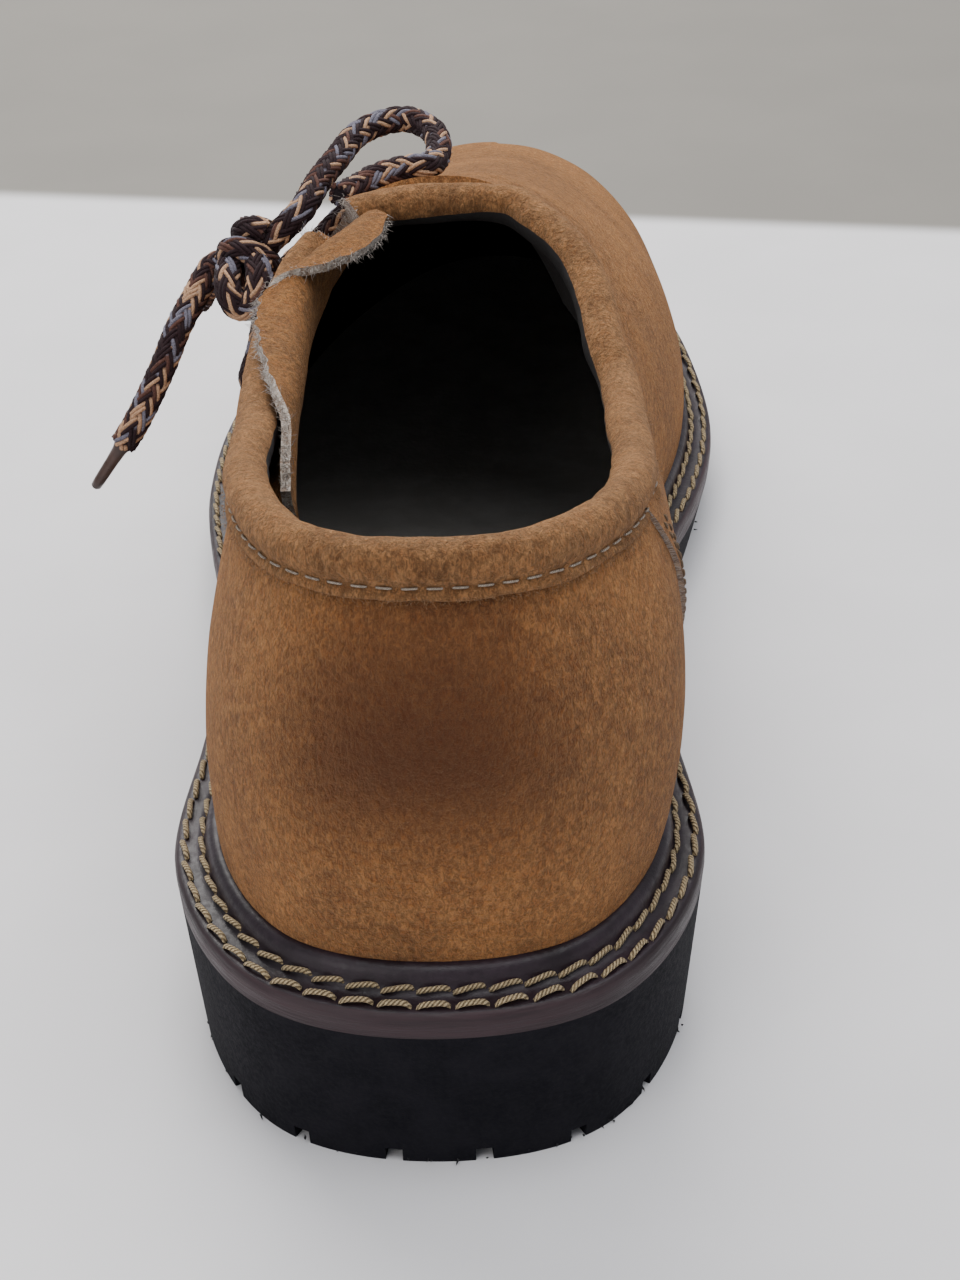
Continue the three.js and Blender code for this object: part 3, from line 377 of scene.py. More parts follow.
def combine(piece, tool, operation):
    modifier = piece.modifiers.new("combine", "BOOLEAN")
    modifier.operation = operation
    modifier.solver = "MANIFOLD"
    modifier.object = tool
    settle(piece)
    discard(tool)


def finishMesh(piece, sharp=40):
    piece.data.name = piece.name
    piece.data.shade_smooth()
    piece.data.set_sharp_from_angle(angle=math.radians(sharp))
    return piece


# Open or closed centripetal curve through points, sampled evenly.
def curveThrough(points, step, loop=False):
    points = np.asarray(points, float)
    if loop:
        padded = np.concatenate([points[-1:], points, points[:2]])
    else:
        padded = np.concatenate([[2 * points[0] - points[1]], points, [2 * points[-1] - points[-2]]])
    dense = []
    for i in range(len(padded) - 3):
        p0, p1, p2, p3 = padded[i:i + 4]
        d0, d1, d2 = [max(np.linalg.norm(b - a) ** 0.5, 1e-4) for a, b in ((p0, p1), (p1, p2), (p2, p3))]
        m1 = ((p1 - p0) / d0 - (p2 - p0) / (d0 + d1) + (p2 - p1) / d1) * d1
        m2 = ((p2 - p1) / d1 - (p3 - p1) / (d1 + d2) + (p3 - p2) / d2) * d1
        w = np.linspace(0, 1, 24, endpoint=False)[:, None]
        dense.append((2 * w**3 - 3 * w**2 + 1) * p1 + (w**3 - 2 * w**2 + w) * m1
                     + (3 * w**2 - 2 * w**3) * p2 + (w**3 - w**2) * m2)
    dense = np.concatenate(dense + [padded[-2:-1]])
    run = runOf(dense)
    count = max(2, int(round(run[-1] / step)))
    return valuesAt(np.linspace(0, run[-1], count + 1), run, dense)


def unit(vectors):
    vectors = np.asarray(vectors, float)
    return vectors / np.maximum(np.linalg.norm(vectors, axis=-1, keepdims=True), 1e-9)


print("tools ready")

# Camera: fitted to the photograph, 960 x 1280.
cameraSizes = {
    "x": 14.941, "y": -317.593, "z": 260.113, "yaw": -0.0258989, "pitch": 0.550444,
    "roll": -0.0234073, "focal": 2503.0, "imageHeight": 1280.0, "film": 36.0,
}


def makeCamera(sizes):
    yaw, pitch, roll = sizes["yaw"], sizes["pitch"], sizes["roll"]
    ahead = Vector((math.sin(yaw) * math.cos(pitch), math.cos(yaw) * math.cos(pitch), -math.sin(pitch)))
    level = ahead.cross(Vector((0, 0, 1))).normalized()
    upright = level.cross(ahead)
    right = level * math.cos(roll) + upright * math.sin(roll)
    up = right.cross(ahead)
    data = bpy.data.cameras.new("camera")
    data.sensor_width = sizes["film"]
    data.lens = sizes["focal"] / sizes["imageHeight"] * sizes["film"]
    data.clip_start = 0.01
    made = bpy.data.objects.new("camera", data)
    bpy.context.scene.collection.objects.link(made)
    turn = Matrix((right, up, -ahead)).transposed().to_4x4()
    spot = Matrix.Translation(Vector((sizes["x"], sizes["y"], sizes["z"])) * mm)
    made.matrix_world = spot @ turn
    bpy.context.scene.camera = made


makeCamera(cameraSizes)


# Shader node helpers.
def newMaterial(name):
    material = bpy.data.materials.new(name)
    material.use_nodes = True
    nodes = material.node_tree.nodes
    nodes.clear()
    out = nodes.new("ShaderNodeOutputMaterial")
    body = nodes.new("ShaderNodeBsdfPrincipled")
    material.node_tree.links.new(body.outputs[0], out.inputs[0])
    return material, material.node_tree, body


def objectPlace(tree):
    return tree.nodes.new("ShaderNodeTexCoord").outputs["Object"]


def noiseOf(tree, coordinates, scale, detail=4.0, rough=0.55, distortion=0.0):
    node = tree.nodes.new("ShaderNodeTexNoise")
    node.inputs["Scale"].default_value = scale
    node.inputs["Detail"].default_value = detail
    node.inputs["Roughness"].default_value = rough
    node.inputs["Distortion"].default_value = distortion
    tree.links.new(coordinates, node.inputs["Vector"])
    return node.outputs["Fac"]


def rangeOf(tree, value, low, high, toLow=0.0, toHigh=1.0):
    node = tree.nodes.new("ShaderNodeMapRange")
    node.interpolation_type = "SMOOTHSTEP"
    node.inputs[1].default_value = low
    node.inputs[2].default_value = high
    node.inputs[3].default_value = toLow
    node.inputs[4].default_value = toHigh
    tree.links.new(value, node.inputs[0])
    return node.outputs[0]


def mathOf(tree, operation, first, second):
    node = tree.nodes.new("ShaderNodeMath")
    node.operation = operation
    for k, value in enumerate((first, second)):
        if isinstance(value, (int, float)):
            node.inputs[k].default_value = value
        else:
            tree.links.new(value, node.inputs[k])
    return node.outputs[0]


def mixOf(tree, factor, first, second, blend="MIX"):
    node = tree.nodes.new("ShaderNodeMix")
    node.data_type = "RGBA"
    node.blend_type = blend
    sockets = (node.inputs[0], node.inputs[6], node.inputs[7])
    for socket, value in zip(sockets, (factor, first, second)):
        if isinstance(value, (int, float)):
            socket.default_value = value
        elif isinstance(value, tuple):
            socket.default_value = (*value, 1.0)
        else:
            tree.links.new(value, socket)
    return node.outputs[2]


def greyOf(tree, value):
    node = tree.nodes.new("ShaderNodeCombineColor")
    for k in range(3):
        tree.links.new(value, node.inputs[k])
    return node.outputs[0]


def axesOf(tree, vector):
    node = tree.nodes.new("ShaderNodeSeparateXYZ")
    tree.links.new(vector, node.inputs[0])
    return node.outputs


def bumpOf(tree, height, strength, distance, under=None):
    node = tree.nodes.new("ShaderNodeBump")
    node.inputs["Strength"].default_value = strength
    node.inputs["Distance"].default_value = distance
    tree.links.new(height, node.inputs["Height"])
    if under is not None:
        tree.links.new(under, node.inputs["Normal"])
    return node.outputs["Normal"]


# Node group shared by the napped leathers: patches, mottle and fibre values from a place.
def makeNapGroup():
    group = bpy.data.node_groups.new("suedeNap", "ShaderNodeTree")
    group.interface.new_socket("Place", in_out="INPUT", socket_type="NodeSocketVector")
    size = group.interface.new_socket("Patch Scale", in_out="INPUT", socket_type="NodeSocketFloat")
    size.default_value = 60.0
    for name in ("Patches", "Mottle", "Fibres"):
        group.interface.new_socket(name, in_out="OUTPUT", socket_type="NodeSocketFloat")
    enter = group.nodes.new("NodeGroupInput")
    leave = group.nodes.new("NodeGroupOutput")
    spot = enter.outputs["Place"]
    patch = group.nodes.new("ShaderNodeTexNoise")
    patch.inputs["Detail"].default_value = 5.0
    patch.inputs["Roughness"].default_value = 0.62
    patch.inputs["Distortion"].default_value = 0.6
    tall = group.nodes.new("ShaderNodeMapping")
    tall.inputs["Scale"].default_value = (1.0, 1.0, 0.6)
    group.links.new(spot, tall.inputs["Vector"])
    group.links.new(tall.outputs["Vector"], patch.inputs["Vector"])
    group.links.new(enter.outputs["Patch Scale"], patch.inputs["Scale"])
    group.links.new(rangeOf(group, patch.outputs["Fac"], 0.34, 0.68), leave.inputs["Patches"])
    mottle = noiseOf(group, spot, 620.0, 5.0, 0.7, 0.5)
    group.links.new(rangeOf(group, mottle, 0.3, 0.72), leave.inputs["Mottle"])
    stretch = group.nodes.new("ShaderNodeMapping")
    stretch.inputs["Scale"].default_value = (1.0, 0.8, 0.42)
    stretch.inputs["Rotation"].default_value = (0.2, 0.35, 0.0)
    group.links.new(spot, stretch.inputs["Vector"])
    fibres = noiseOf(group, stretch.outputs["Vector"], 1900.0, 3.0, 0.7, 1.2)
    group.links.new(rangeOf(group, fibres, 0.3, 0.75), leave.inputs["Fibres"])
    return group


napGroup = makeNapGroup()


# Napped leather: dark and light tone, and a darker patch high on the middle of the heel's back, partly the
# leather's own tone and partly painted shade.
def suedeMaterial(name, deep, tone, light, heelToneAndPaintedShade=0.0, patchScale=60.0):
    material, tree, body = newMaterial(name)
    spot = objectPlace(tree)
    nap = tree.nodes.new("ShaderNodeGroup")
    nap.node_tree = napGroup
    nap.inputs["Patch Scale"].default_value = patchScale
    tree.links.new(spot, nap.inputs["Place"])
    colour = mixOf(tree, nap.outputs["Patches"], deep, tone)
    lit = mathOf(tree, "MULTIPLY", nap.outputs["Mottle"], 0.62)
    colour = mixOf(tree, lit, colour, light)
    grain = rangeOf(tree, nap.outputs["Fibres"], 0.0, 1.0, 0.55, 1.42)
    colour = mixOf(tree, 1.0, colour, greyOf(tree, grain), "MULTIPLY")
    # Darker high on the middle of the heel's back: partly the leather's own tone, partly painted shade.
    if heelToneAndPaintedShade > 0:
        axes = axesOf(tree, spot)
        back = rangeOf(tree, axes["Y"], -0.02, -0.042)
        middle = rangeOf(tree, mathOf(tree, "ABSOLUTE", axes["X"], 0.0), 0.036, 0.008)
        high = rangeOf(tree, axes["Z"], 0.044, 0.070)
        mask = mathOf(tree, "MULTIPLY", mathOf(tree, "MULTIPLY", back, middle), high)
        mask = mathOf(tree, "MULTIPLY", mask, heelToneAndPaintedShade)
        colour = mixOf(tree, mask, colour, (deep[0] * 0.50, deep[1] * 0.38, deep[2] * 0.42))
    tree.links.new(colour, body.inputs["Base Color"])
    body.inputs["Roughness"].default_value = 0.95
    body.inputs["Specular IOR Level"].default_value = 0.15
    body.inputs["Sheen Weight"].default_value = 0.25
    body.inputs["Sheen Roughness"].default_value = 0.55
    body.inputs["Sheen Tint"].default_value = (1.0, 0.68, 0.40, 1.0)
    height = mathOf(tree, "ADD", nap.outputs["Fibres"], mathOf(tree, "MULTIPLY", nap.outputs["Mottle"], 1.4))
    tree.links.new(bumpOf(tree, height, 0.8, 0.00045), body.inputs["Normal"])
    return material


def rawEdgeMaterial(name, dark, light):
    material, tree, body = newMaterial(name)
    spot = objectPlace(tree)
    mask = rangeOf(tree, noiseOf(tree, spot, 900.0, 3.0, 0.7), 0.35, 0.65)
    colour = mixOf(tree, mask, dark, light)
    tree.links.new(colour, body.inputs["Base Color"])
    body.inputs["Roughness"].default_value = 1.0
    body.inputs["Sheen Weight"].default_value = 0.5
    tree.links.new(bumpOf(tree, mask, 0.8, 0.0004), body.inputs["Normal"])
    return material


# Smooth or waxed leather and rubber: two tones, grain size per metre, roughness and its spread.
def grainMaterial(name, dark, light, scale, rough, spread, depth, shine=0.35, stretch=(1, 1, 1)):
    material, tree, body = newMaterial(name)
    mapping = tree.nodes.new("ShaderNodeMapping")
    mapping.inputs["Scale"].default_value = stretch
    tree.links.new(objectPlace(tree), mapping.inputs["Vector"])
    spot = mapping.outputs["Vector"]
    broad = rangeOf(tree, noiseOf(tree, spot, scale * 0.12, 4.0, 0.6), 0.35, 0.65)
    small = noiseOf(tree, spot, scale, 5.0, 0.65)
    colour = mixOf(tree, mathOf(tree, "MULTIPLY", broad, small), dark, light)
    tree.links.new(colour, body.inputs["Base Color"])
    tree.links.new(rangeOf(tree, small, 0.3, 0.7, rough - spread, rough + spread), body.inputs["Roughness"])
    body.inputs["Specular IOR Level"].default_value = shine
    tree.links.new(bumpOf(tree, small, 0.5, depth), body.inputs["Normal"])
    return material


# Lace and thread: the colour comes from the strand's own attribute, with fine fibres over it; twisted thread
# also gets painted shade in the valleys between its plies.
def yarnMaterial(name, rough, sheen, twist=0.0):
    material, tree, body = newMaterial(name)
    own = tree.nodes.new("ShaderNodeAttribute")
    own.attribute_name = "yarn"
    fibres = rangeOf(tree, noiseOf(tree, objectPlace(tree), 3800.0, 2.0, 0.6), 0.3, 0.7, 0.62, 1.25)
    colour = mixOf(tree, 1.0, own.outputs["Color"], greyOf(tree, fibres), "MULTIPLY")
    bump = bumpOf(tree, fibres, 0.5, 0.0002)
    if twist > 0:          # plies wound round the thread, by its UV map
        chart = tree.nodes.new("ShaderNodeUVMap")
        chart.uv_map = "UVMap"
        axes = axesOf(tree, chart.outputs[0])
        along = mathOf(tree, "MULTIPLY", axes["X"], twist * 2 * math.pi)
        around = mathOf(tree, "MULTIPLY", axes["Y"], 6 * math.pi)
        wave = mathOf(tree, "SINE", mathOf(tree, "ADD", along, around), 0.0)
        ply = rangeOf(tree, wave, -1.0, 0.3)
        # The valleys between the plies are darkened: painted shade.
        colour = mixOf(tree, ply, mixOf(tree, 1.0, colour, (0.38, 0.34, 0.30), "MULTIPLY"), colour)
        bump = bumpOf(tree, ply, 0.9, 0.0003, bump)
    tree.links.new(colour, body.inputs["Base Color"])
    body.inputs["Roughness"].default_value = rough
    body.inputs["Sheen Weight"].default_value = sheen
    body.inputs["Specular IOR Level"].default_value = 0.15
    tree.links.new(bump, body.inputs["Normal"])
    return material


# The main suede carries the darker heel-back patch, partly its own tone and partly painted shade.
suede = suedeMaterial("suede", (0.125, 0.036, 0.009), (0.300, 0.112, 0.030), (0.440, 0.205, 0.070),
                      1.0, 42.0)
bandSuede = suedeMaterial("bandSuede", (0.130, 0.048, 0.015), (0.245, 0.100, 0.033),
                          (0.37, 0.185, 0.075), 0, 90)
tongueSuede = suedeMaterial("tongueSuede", (0.120, 0.040, 0.011), (0.245, 0.087, 0.021),
                            (0.35, 0.155, 0.047), 0, 80)
lining = grainMaterial("lining", (0.014, 0.012, 0.012), (0.035, 0.032, 0.032), 900.0, 0.8, 0.1, 0.0002)
rawEdge = rawEdgeMaterial("rawEdge", (0.13, 0.065, 0.03), (0.27, 0.18, 0.11))
tongueEdge = rawEdgeMaterial("tongueEdge", (0.19, 0.12, 0.075), (0.42, 0.36, 0.30))
weltLeather = grainMaterial("weltLeather", (0.011, 0.0058, 0.0085), (0.036, 0.022, 0.031), 700.0, 0.40, 0.1,
                            0.00025, 0.32)
weltEdge = grainMaterial("weltEdge", (0.015, 0.008, 0.010), (0.060, 0.033, 0.038), 500.0, 0.5, 0.12,
                         0.0003, 0.28, (0.3, 0.3, 4.0))
rubber = grainMaterial("rubber", (0.0040, 0.0038, 0.0062), (0.0105, 0.0095, 0.0130), 1300.0, 0.80, 0.1,
                       0.0003, 0.12)
paleLeather = grainMaterial("paleLeather", (0.42, 0.40, 0.37), (0.58, 0.56, 0.53), 800.0, 0.6, 0.08, 0.0002)
laceYarn = yarnMaterial("laceYarn", 0.8, 0.04)
thread = yarnMaterial("thread", 0.85, 0.08)
twistedThread = yarnMaterial("twistedThread", 0.85, 0.08, 7.0)
agletFilm = grainMaterial("agletFilm", (0.030, 0.014, 0.010), (0.10, 0.05, 0.035), 600.0, 0.35, 0.08,
                          0.0001, 0.4)
print("materials ready")

# Sole.
soleSizes = {
    "turns": 560 if fine else 200, "treadDepth": 4.0, "grooveWidth": 2.8, "edgeGrooves": 45,
    "notch": (2.6, 2.4), "taper": 2.4, "cutBelow": 5.0,
    "heelBreast": 0.275, "waistEnd": 0.53, "channelInset": 8.5, "edgeReach": 22.0,
    "waist": [        # share of the way from the heel to the waist's end, mm more, height
        (0, 0, -6), (0, 1.5, 8.8), (0.35, 0, 6.6), (0.75, 0, 2.6), (1, 0, 0), (1, 4, -6),
    ],
    "cross": [        # share of the length, middle, width
        (0.062, 0, 30), (0.192, 0, 44), (0.60, 3, 44), (0.655, 3.275, 44), (0.71, 3.55, 44),
        (0.765, 3.825, 44), (0.82, 4.1, 44), (0.875, 4.375, 30),
    ],
    "insole": (-2.8, 3.0),
}
turns = np.arange(soleSizes["turns"]) / soleSizes["turns"]


def boxAt(middle, size, angle):
    x, y, z = [s / 2 for s in size]
    corners = np.array([(a * x, b * y, c * z) for c in (-1, 1) for b in (-1, 1) for a in (-1, 1)])
    co, si = math.cos(angle), math.sin(angle)
    turned = corners @ np.array([[co, si, 0], [-si, co, 0], [0, 0, 1]])
    faces = [[0, 2, 3, 1], [4, 5, 7, 6], [0, 1, 5, 4], [2, 6, 7, 3], [0, 4, 6, 2], [1, 3, 7, 5]]
    placed = turned + np.array(middle)
    return placed, outward(placed, faces)


def joinedBoxes(name, boxes, slots):
    points, faces = [], []
    for corners, sides in boxes:
        start = len(points)
        points.extend(corners.tolist())
        faces.extend([[start + k for k in side] for side in sides])
    return makeObject(name, points, faces, slots, smooth=False)


def makeOutsole(sizes):
    slots = [rubber]
    body = plate("rubberSole", (shoe["flange"] - sizes["taper"], treadLevel),
                 (shoe["flange"] - 0.1, rubberTop), turns, slots)
    inset, width, deep = sizes["channelInset"], sizes["grooveWidth"], sizes["treadDepth"]
    few = turns[::4]
    channel = plate("channel", (-inset, lambda y: treadLevel(y) - 8),
                    (-inset, lambda y: treadLevel(y) + deep), few, slots)
    core = plate("core", (-inset - width, lambda y: treadLevel(y) - 9),
                 (-inset - width, lambda y: treadLevel(y) + deep + 2), few, slots)
    combine(channel, core, "DIFFERENCE")
    back, front = place(sizes["heelBreast"]), place(sizes["waistEnd"])
    profile = [(back + part * (front - back) + more, z) for part, more, z in sizes["waist"]]
    waist = sweep("waist", [[(x, y, z) for y, z in profile] for x in (-80, 80)], False, slots)
    combine(body, waist, "DIFFERENCE")
    combine(body, channel, "DIFFERENCE")
    count = sizes["edgeGrooves"]
    wide, high = sizes["notch"]
    spots, normals = featherAt((np.arange(count) + 0.5) / count)
    cuts = []
    for spot, normal in zip(spots, normals):
        along = share(spot[1])
        if along < sizes["heelBreast"] - 0.04 or along > sizes["waistEnd"] + 0.02:
            x, y = spot + normal * 0.5
            size = (sizes["edgeReach"], wide, high + 2 * sizes["cutBelow"])
            cuts.append(boxAt((x, y, treadLevel(y) + high / 2 - sizes["cutBelow"]), size,
                              math.atan2(normal[1], normal[0])))
    combine(body, joinedBoxes("edgeCuts", cuts, slots), "DIFFERENCE")
    cuts = []
    for along, x, reach in sizes["cross"]:
        y = place(along)
        cuts.append(boxAt((x, y, treadLevel(y) + deep / 2 - sizes["cutBelow"]),
                          (reach, width, deep + 2 * sizes["cutBelow"]), 0))
    combine(body, joinedBoxes("crossCuts", cuts, slots), "DIFFERENCE")
    return finishMesh(body, 35)


outsole = makeOutsole(soleSizes)
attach(outsole, "root")
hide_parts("outsole")
midsole = finishMesh(plate("midsoleEdge", (shoe["flange"] - 0.1, lambda y: rubberTop(y) + 0.02),
                           (shoe["flange"] + 0.06, lambda y: midsoleTop(y) + shoe["gap"] - 0.02), turns,
                           [weltEdge]))
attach(midsole, "root")
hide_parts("midsole")
inset, thick = soleSizes["insole"]
insole = finishMesh(plate("insoleSheet", (inset, lambda y: midsoleTop(y) + shoe["gap"]),
                          (inset, lambda y: midsoleTop(y) + shoe["gap"] + thick), turns[::3], [paleLeather]))
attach(insole, "root")
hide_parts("insole")
print("sole made")

# Welt: out from the feather edge and up from the welt's top; the storm rim stands at the upper.
weltPoints = [
    (-0.6, -2.1), (-0.6, 3.7), (0.3, 4.2), (1.2, 4.1), (1.95, 3.6), (2.4, 2.8), (2.65, 1.8), (2.95, 0.9),
    (3.5, 0.35), (4.3, 0.1), (5.4, 0.0), (6.3, 0.08), (6.95, -0.05), (7.4, -0.45), (7.58, -1.1), (7.6, -2.1),
]
edgeFrom = 12       # from this point of the section on, the welt shows its cut edge


def makeWelt():
    loops = [outline(out, turns) for out, _ in weltPoints]
    rings = []
    for i in range(len(turns)):
        rings.append([(loop[i][0], loop[i][1], weltTop(loop[i][1]) + up)
                      for loop, (_, up) in zip(loops, weltPoints)])
    points = np.array(rings).reshape(-1, 3)
    size = len(weltPoints)
    faces = sweepFaces(len(turns), size, True)
    indices = [1 if (k % size) >= edgeFrom else 0 for k in range(len(faces))]
    faces = outward(points, faces)
    return makeObject("weltStrip", points, faces, [weltLeather, weltEdge], indices)


welt = finishMesh(makeWelt(), 50)
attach(welt, "root")
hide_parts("welt")
print("welt made")

# Upper.
upperSizes = {
    "rows": 230 if fine else 80, "columns": 150 if fine else 60,
    "slitTop": (-21, 84, 98), "slitEnd": (-37, 126, 52), "slitWidth": (9.0, 5.0),
    "eyelets": (0.17, 0.47, 0.77), "eyeletInset": 6.5, "eyeletRadius": 2.5, "cutReach": 7,
    "seam": [(-90, 106, 128), (-30, 106, 128), (-29, 60, 60), (14, 60, 60), (15, 34, -4), (90, 34, -4)],
}
leatherSlots = [suede, lining, rawEdge]
topLateral = table(toplineRows, 0, 1)
topMedial = table(toplineRows, 0, 2)


def toplineHeight(x, y):
    arch = shoe["throatArch"] * np.clip(x, 0, 30) ** 2 * ease((y - 30) / 25)
    lateral = read(topLateral, share(y))
    medial = read(topMedial, share(y + arch))
    return shoe["collarHeight"] * (lateral + (medial - lateral) * ease((x + 16) / 32))


def aboveTopline(slots, index):
    xs = np.concatenate([[-90], np.linspace(-30, 32, 63), [90]])
    ys = place(-0.2 + 0.66 * np.sin(math.pi / 2 * np.arange(121) / 120))
    rings = []
    for x in xs:
        low = np.stack([np.full_like(ys, x), ys, toplineHeight(x, ys)], -1)
        high = low[::-1].copy()
        high[:, 2] = 260
        rings.append(np.concatenate([low, high]))
    size = len(rings[0])
    half = len(ys)
    points = np.concatenate(rings)
    faces = []
    for i in range(len(xs) - 1):
        for j in range(size):
            n = (j + 1) % size
            faces.append([i * size + j, i * size + n, (i + 1) * size + n, (i + 1) * size + j])
    end = (len(xs) - 1) * size
    for j in range(half - 1):
        a, b, c, d = j, j + 1, size - 2 - j, size - 1 - j
        faces.append([a, d, c, b])
        faces.append([end + a, end + b, end + c, end + d])
    return closed("aboveTopline", points, faces, slots, index)


skinRows, skinColumns = 120, 80
skin = lastGrid(0, 0, skinRows, skinColumns)


def skinAt(row, column):
    i = int(np.clip(math.floor(row), 0, skinRows - 2))
    j = int(np.clip(math.floor(column), 0, skinColumns - 1))
    u, v = row - i, column - j
    low = skin[i, j] * (1 - v) + skin[i, j + 1] * v
    high = skin[i + 1, j] * (1 - v) + skin[i + 1, j + 1] * v
    normal = np.cross(skin[i, j + 1] - skin[i, j], high - low)
    return low * (1 - u) + high * u, unit(normal)


def skinNear(goal):
    far = np.linalg.norm(skin[1:skinRows] - np.array(goal, float), axis=2)
    i, j = np.unravel_index(np.argmin(far), far.shape)
    return i + 1, j


def slitPath(part):
    top = skinNear(upperSizes["slitTop"])
    end = skinNear(upperSizes["slitEnd"])
    return skinAt(*[a + (b - a) * part for a, b in zip(top, end)])


def slitPlace(part):
    point, normal = slitPath(part)
    down = unit(slitPath(part + 0.02)[0] - slitPath(part - 0.02)[0])
    across = unit(np.cross(normal, down))
    across = across * np.sign(across[0])
    wide, narrow = upperSizes["slitWidth"]
    return point, normal, across, wide + (narrow - wide) * part


def eyeletPlace(index, side):
    point, _, across, width = slitPlace(upperSizes["eyelets"][index])
    goal = point + across * side * (width / 2 + upperSizes["eyeletInset"])
    return skinAt(*skinNear(goal))


def makeUpper(sizes):
    rows, columns = sizes["rows"], sizes["columns"]
    body = tunnel("upperLeather", lastGrid(0, shoe["weltHeight"], rows, columns, True), leatherSlots)
    raised = lastGrid(shoe["vampStep"], shoe["weltHeight"] - 0.6, rows, columns, True)
    vamp = tunnel("vamp", raised, leatherSlots)
    rings = []
    for x, foot, head in sizes["seam"]:
        rings.append([(x, foot, 5), (x, 400, 5), (x, 400, 150), (x, head + (head - foot) * 0.9, 150),
                      (x, head, 90), (x, foot, 30)])
    combine(vamp, sweep("vampRegion", rings, False, leatherSlots, 2), "INTERSECT")
    combine(body, vamp, "UNION")
    inner = lastGrid(-shoe["wall"], shoe["weltHeight"] + 4, rows // 2, columns // 2)
    combine(body, tunnel("inside", inner, leatherSlots, 1), "DIFFERENCE")
    combine(body, aboveTopline(leatherSlots, 0), "DIFFERENCE")
    rings = []
    reach = sizes["cutReach"]
    for i in range(-12, 41):
        point, normal, across, width = slitPlace(i / 40)
        half = width / 2 * (0.55 if i == 40 else 1)
        rings.append([point + across * a * half + normal * b * reach
                      for a, b in ((-1, -1), (1, -1), (1, 1), (-1, 1))])
    combine(body, sweep("slit", rings, False, leatherSlots, 2), "DIFFERENCE")
    for index in range(3):
        for side in (-1, 1):
            point, normal = eyeletPlace(index, side)
            first = unit(np.cross(normal, (0.3, 0.9, 0.1)))
            second = np.cross(normal, first)
            ring = [first * math.cos(a) + second * math.sin(a) for a in np.linspace(0, 2 * math.pi, 25)[:-1]]
            bore = [[point + r * sizes["eyeletRadius"] + normal * k * reach for r in ring] for k in (-1, 1)]
            combine(body, sweep("bore", bore, False, leatherSlots, 2), "DIFFERENCE")
    return finishMesh(body, 42)


upper = makeUpper(upperSizes)
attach(upper, "root")
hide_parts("upper")
print("upper made", len(upper.data.polygons))


# Top edge loop on the upper's outside, as in the frame: points, normals and runs.
def toplineLoop():
    rows, columns = 90, 60
    grid = lastGrid(0, 0, rows, columns)
    sides = {1: [], -1: []}
    for i in range(rows):
        for start, step in ((0, 1), (columns, -1)):
            for k in range(columns // 2):
                j = start + k * step
                one, two = grid[i, j], grid[i, j + step]
                a = one[2] - toplineHeight(one[0], one[1])
                b = two[2] - toplineHeight(two[0], two[1])
                if a < 0 <= b:
                    ahead = grid[i + 1, j] - grid[max(i - 1, 0), j]
                    normal = unit(np.cross((two - one) * step, ahead))
                    if i == 0:
                        normal = np.array([0, -0.97, 0.24])
                    sides[step].append((one + (two - one) * a / (a - b), normal))
                    break
    loop = sides[1] + sides[-1][:0:-1]
    thin = [spot for i, spot in enumerate(loop) if i == 0 or np.linalg.norm(spot[0] - loop[i - 1][0]) > 0.2]
    both = np.array([np.concatenate([point, normal * 20]) for point, normal in thin])
    dense = curveThrough(both, 0.4, True)
    points = dense[:, :3]
    return points, unit(dense[:, 3:]), runOf(points)


loopPoints, loopNormals, loopRun = toplineLoop()


def toplineAt(run):
    goal = run % loopRun[-1]
    return valuesAt(goal, loopRun, loopPoints), unit(valuesAt(goal, loopRun, loopNormals))


def toplineRun(x, y):
    return loopRun[np.argmin(np.hypot(loopPoints[:, 0] - x, loopPoints[:, 1] - y))]


def toplineFrame(run):
    point, normal = toplineAt(run)
    along = unit(toplineAt(run + 0.5)[0] - toplineAt(run - 0.5)[0])
    return point, normal, unit(np.cross(along, normal)), along


# Collar band: a folded strip rolled over the top edge, stitched down above its raw lower edge.
bandSizes = {
    "step": 1.0 if fine else 3.0, "vampCorner": (-17.5, 89), "quarterCorner": (-24, 79),
    "stitchLine": (1.15, -4.3), "wobble": 0.16,
    "section": [
        (-2.3, -5.2), (-3.3, -4.4), (-4.1, -2.0), (-3.5, 0.7), (-2.0, 1.9), (-0.3, 2.2), (1.3, 1.6),
        (2.3, 0.2), (2.55, -1.4), (2.1, -2.9), (1.3, -3.8), (0.95, -4.35), (1.25, -5.0), (1.45, -5.7),
        (1.0, -6.1), (0.2, -6.0),
    ],
}
bandStart = toplineRun(*bandSizes["vampCorner"])
bandEnd = loopRun[-1] + toplineRun(*bandSizes["quarterCorner"])


def makeBand(sizes):
    ring = curveThrough([(a, b, 0) for a, b in sizes["section"]], 0.55, True)[:-1]
    count = int((bandEnd - bandStart) / sizes["step"])
    rings = []
    for i in range(count + 1):
        point, normal, up, _ = toplineFrame(bandStart + (bandEnd - bandStart) * i / count)
        shape = []
        for a, b, _ in ring:
            spot = point + normal * a + up * b
            soft = noise.noise(Vector(spot) / 7.0) * sizes["wobble"]
            side = noise.noise(Vector(spot) / 2.6 + Vector((9, 0, 0))) * sizes["wobble"] * 0.5
            shape.append(spot + (normal * a + up * (b + 2)) * 0.12 * (soft + side) * 4)
        rings.append(shape)
    points = np.array(rings).reshape(-1, 3)
    size = len(ring)
    faces = sweepFaces(len(rings), size, False)
    indices = []
    for k in range(len(faces)):
        a, b, _ = ring[k % size]
        dark = k < len(faces) - 2 and a < -2.6 and b < 0.4
        indices.append(1 if dark else 0)
    indices[-1] = indices[-2] = 2
    faces = outward(points, faces)
    return makeObject("collarRoll", points, faces, [bandSuede, lining, rawEdge], indices)


band = finishMesh(makeBand(bandSizes), 60)
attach(band, "root")
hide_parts("collar_band")
print("collar made, mm along:", round(float(bandEnd - bandStart), 1))

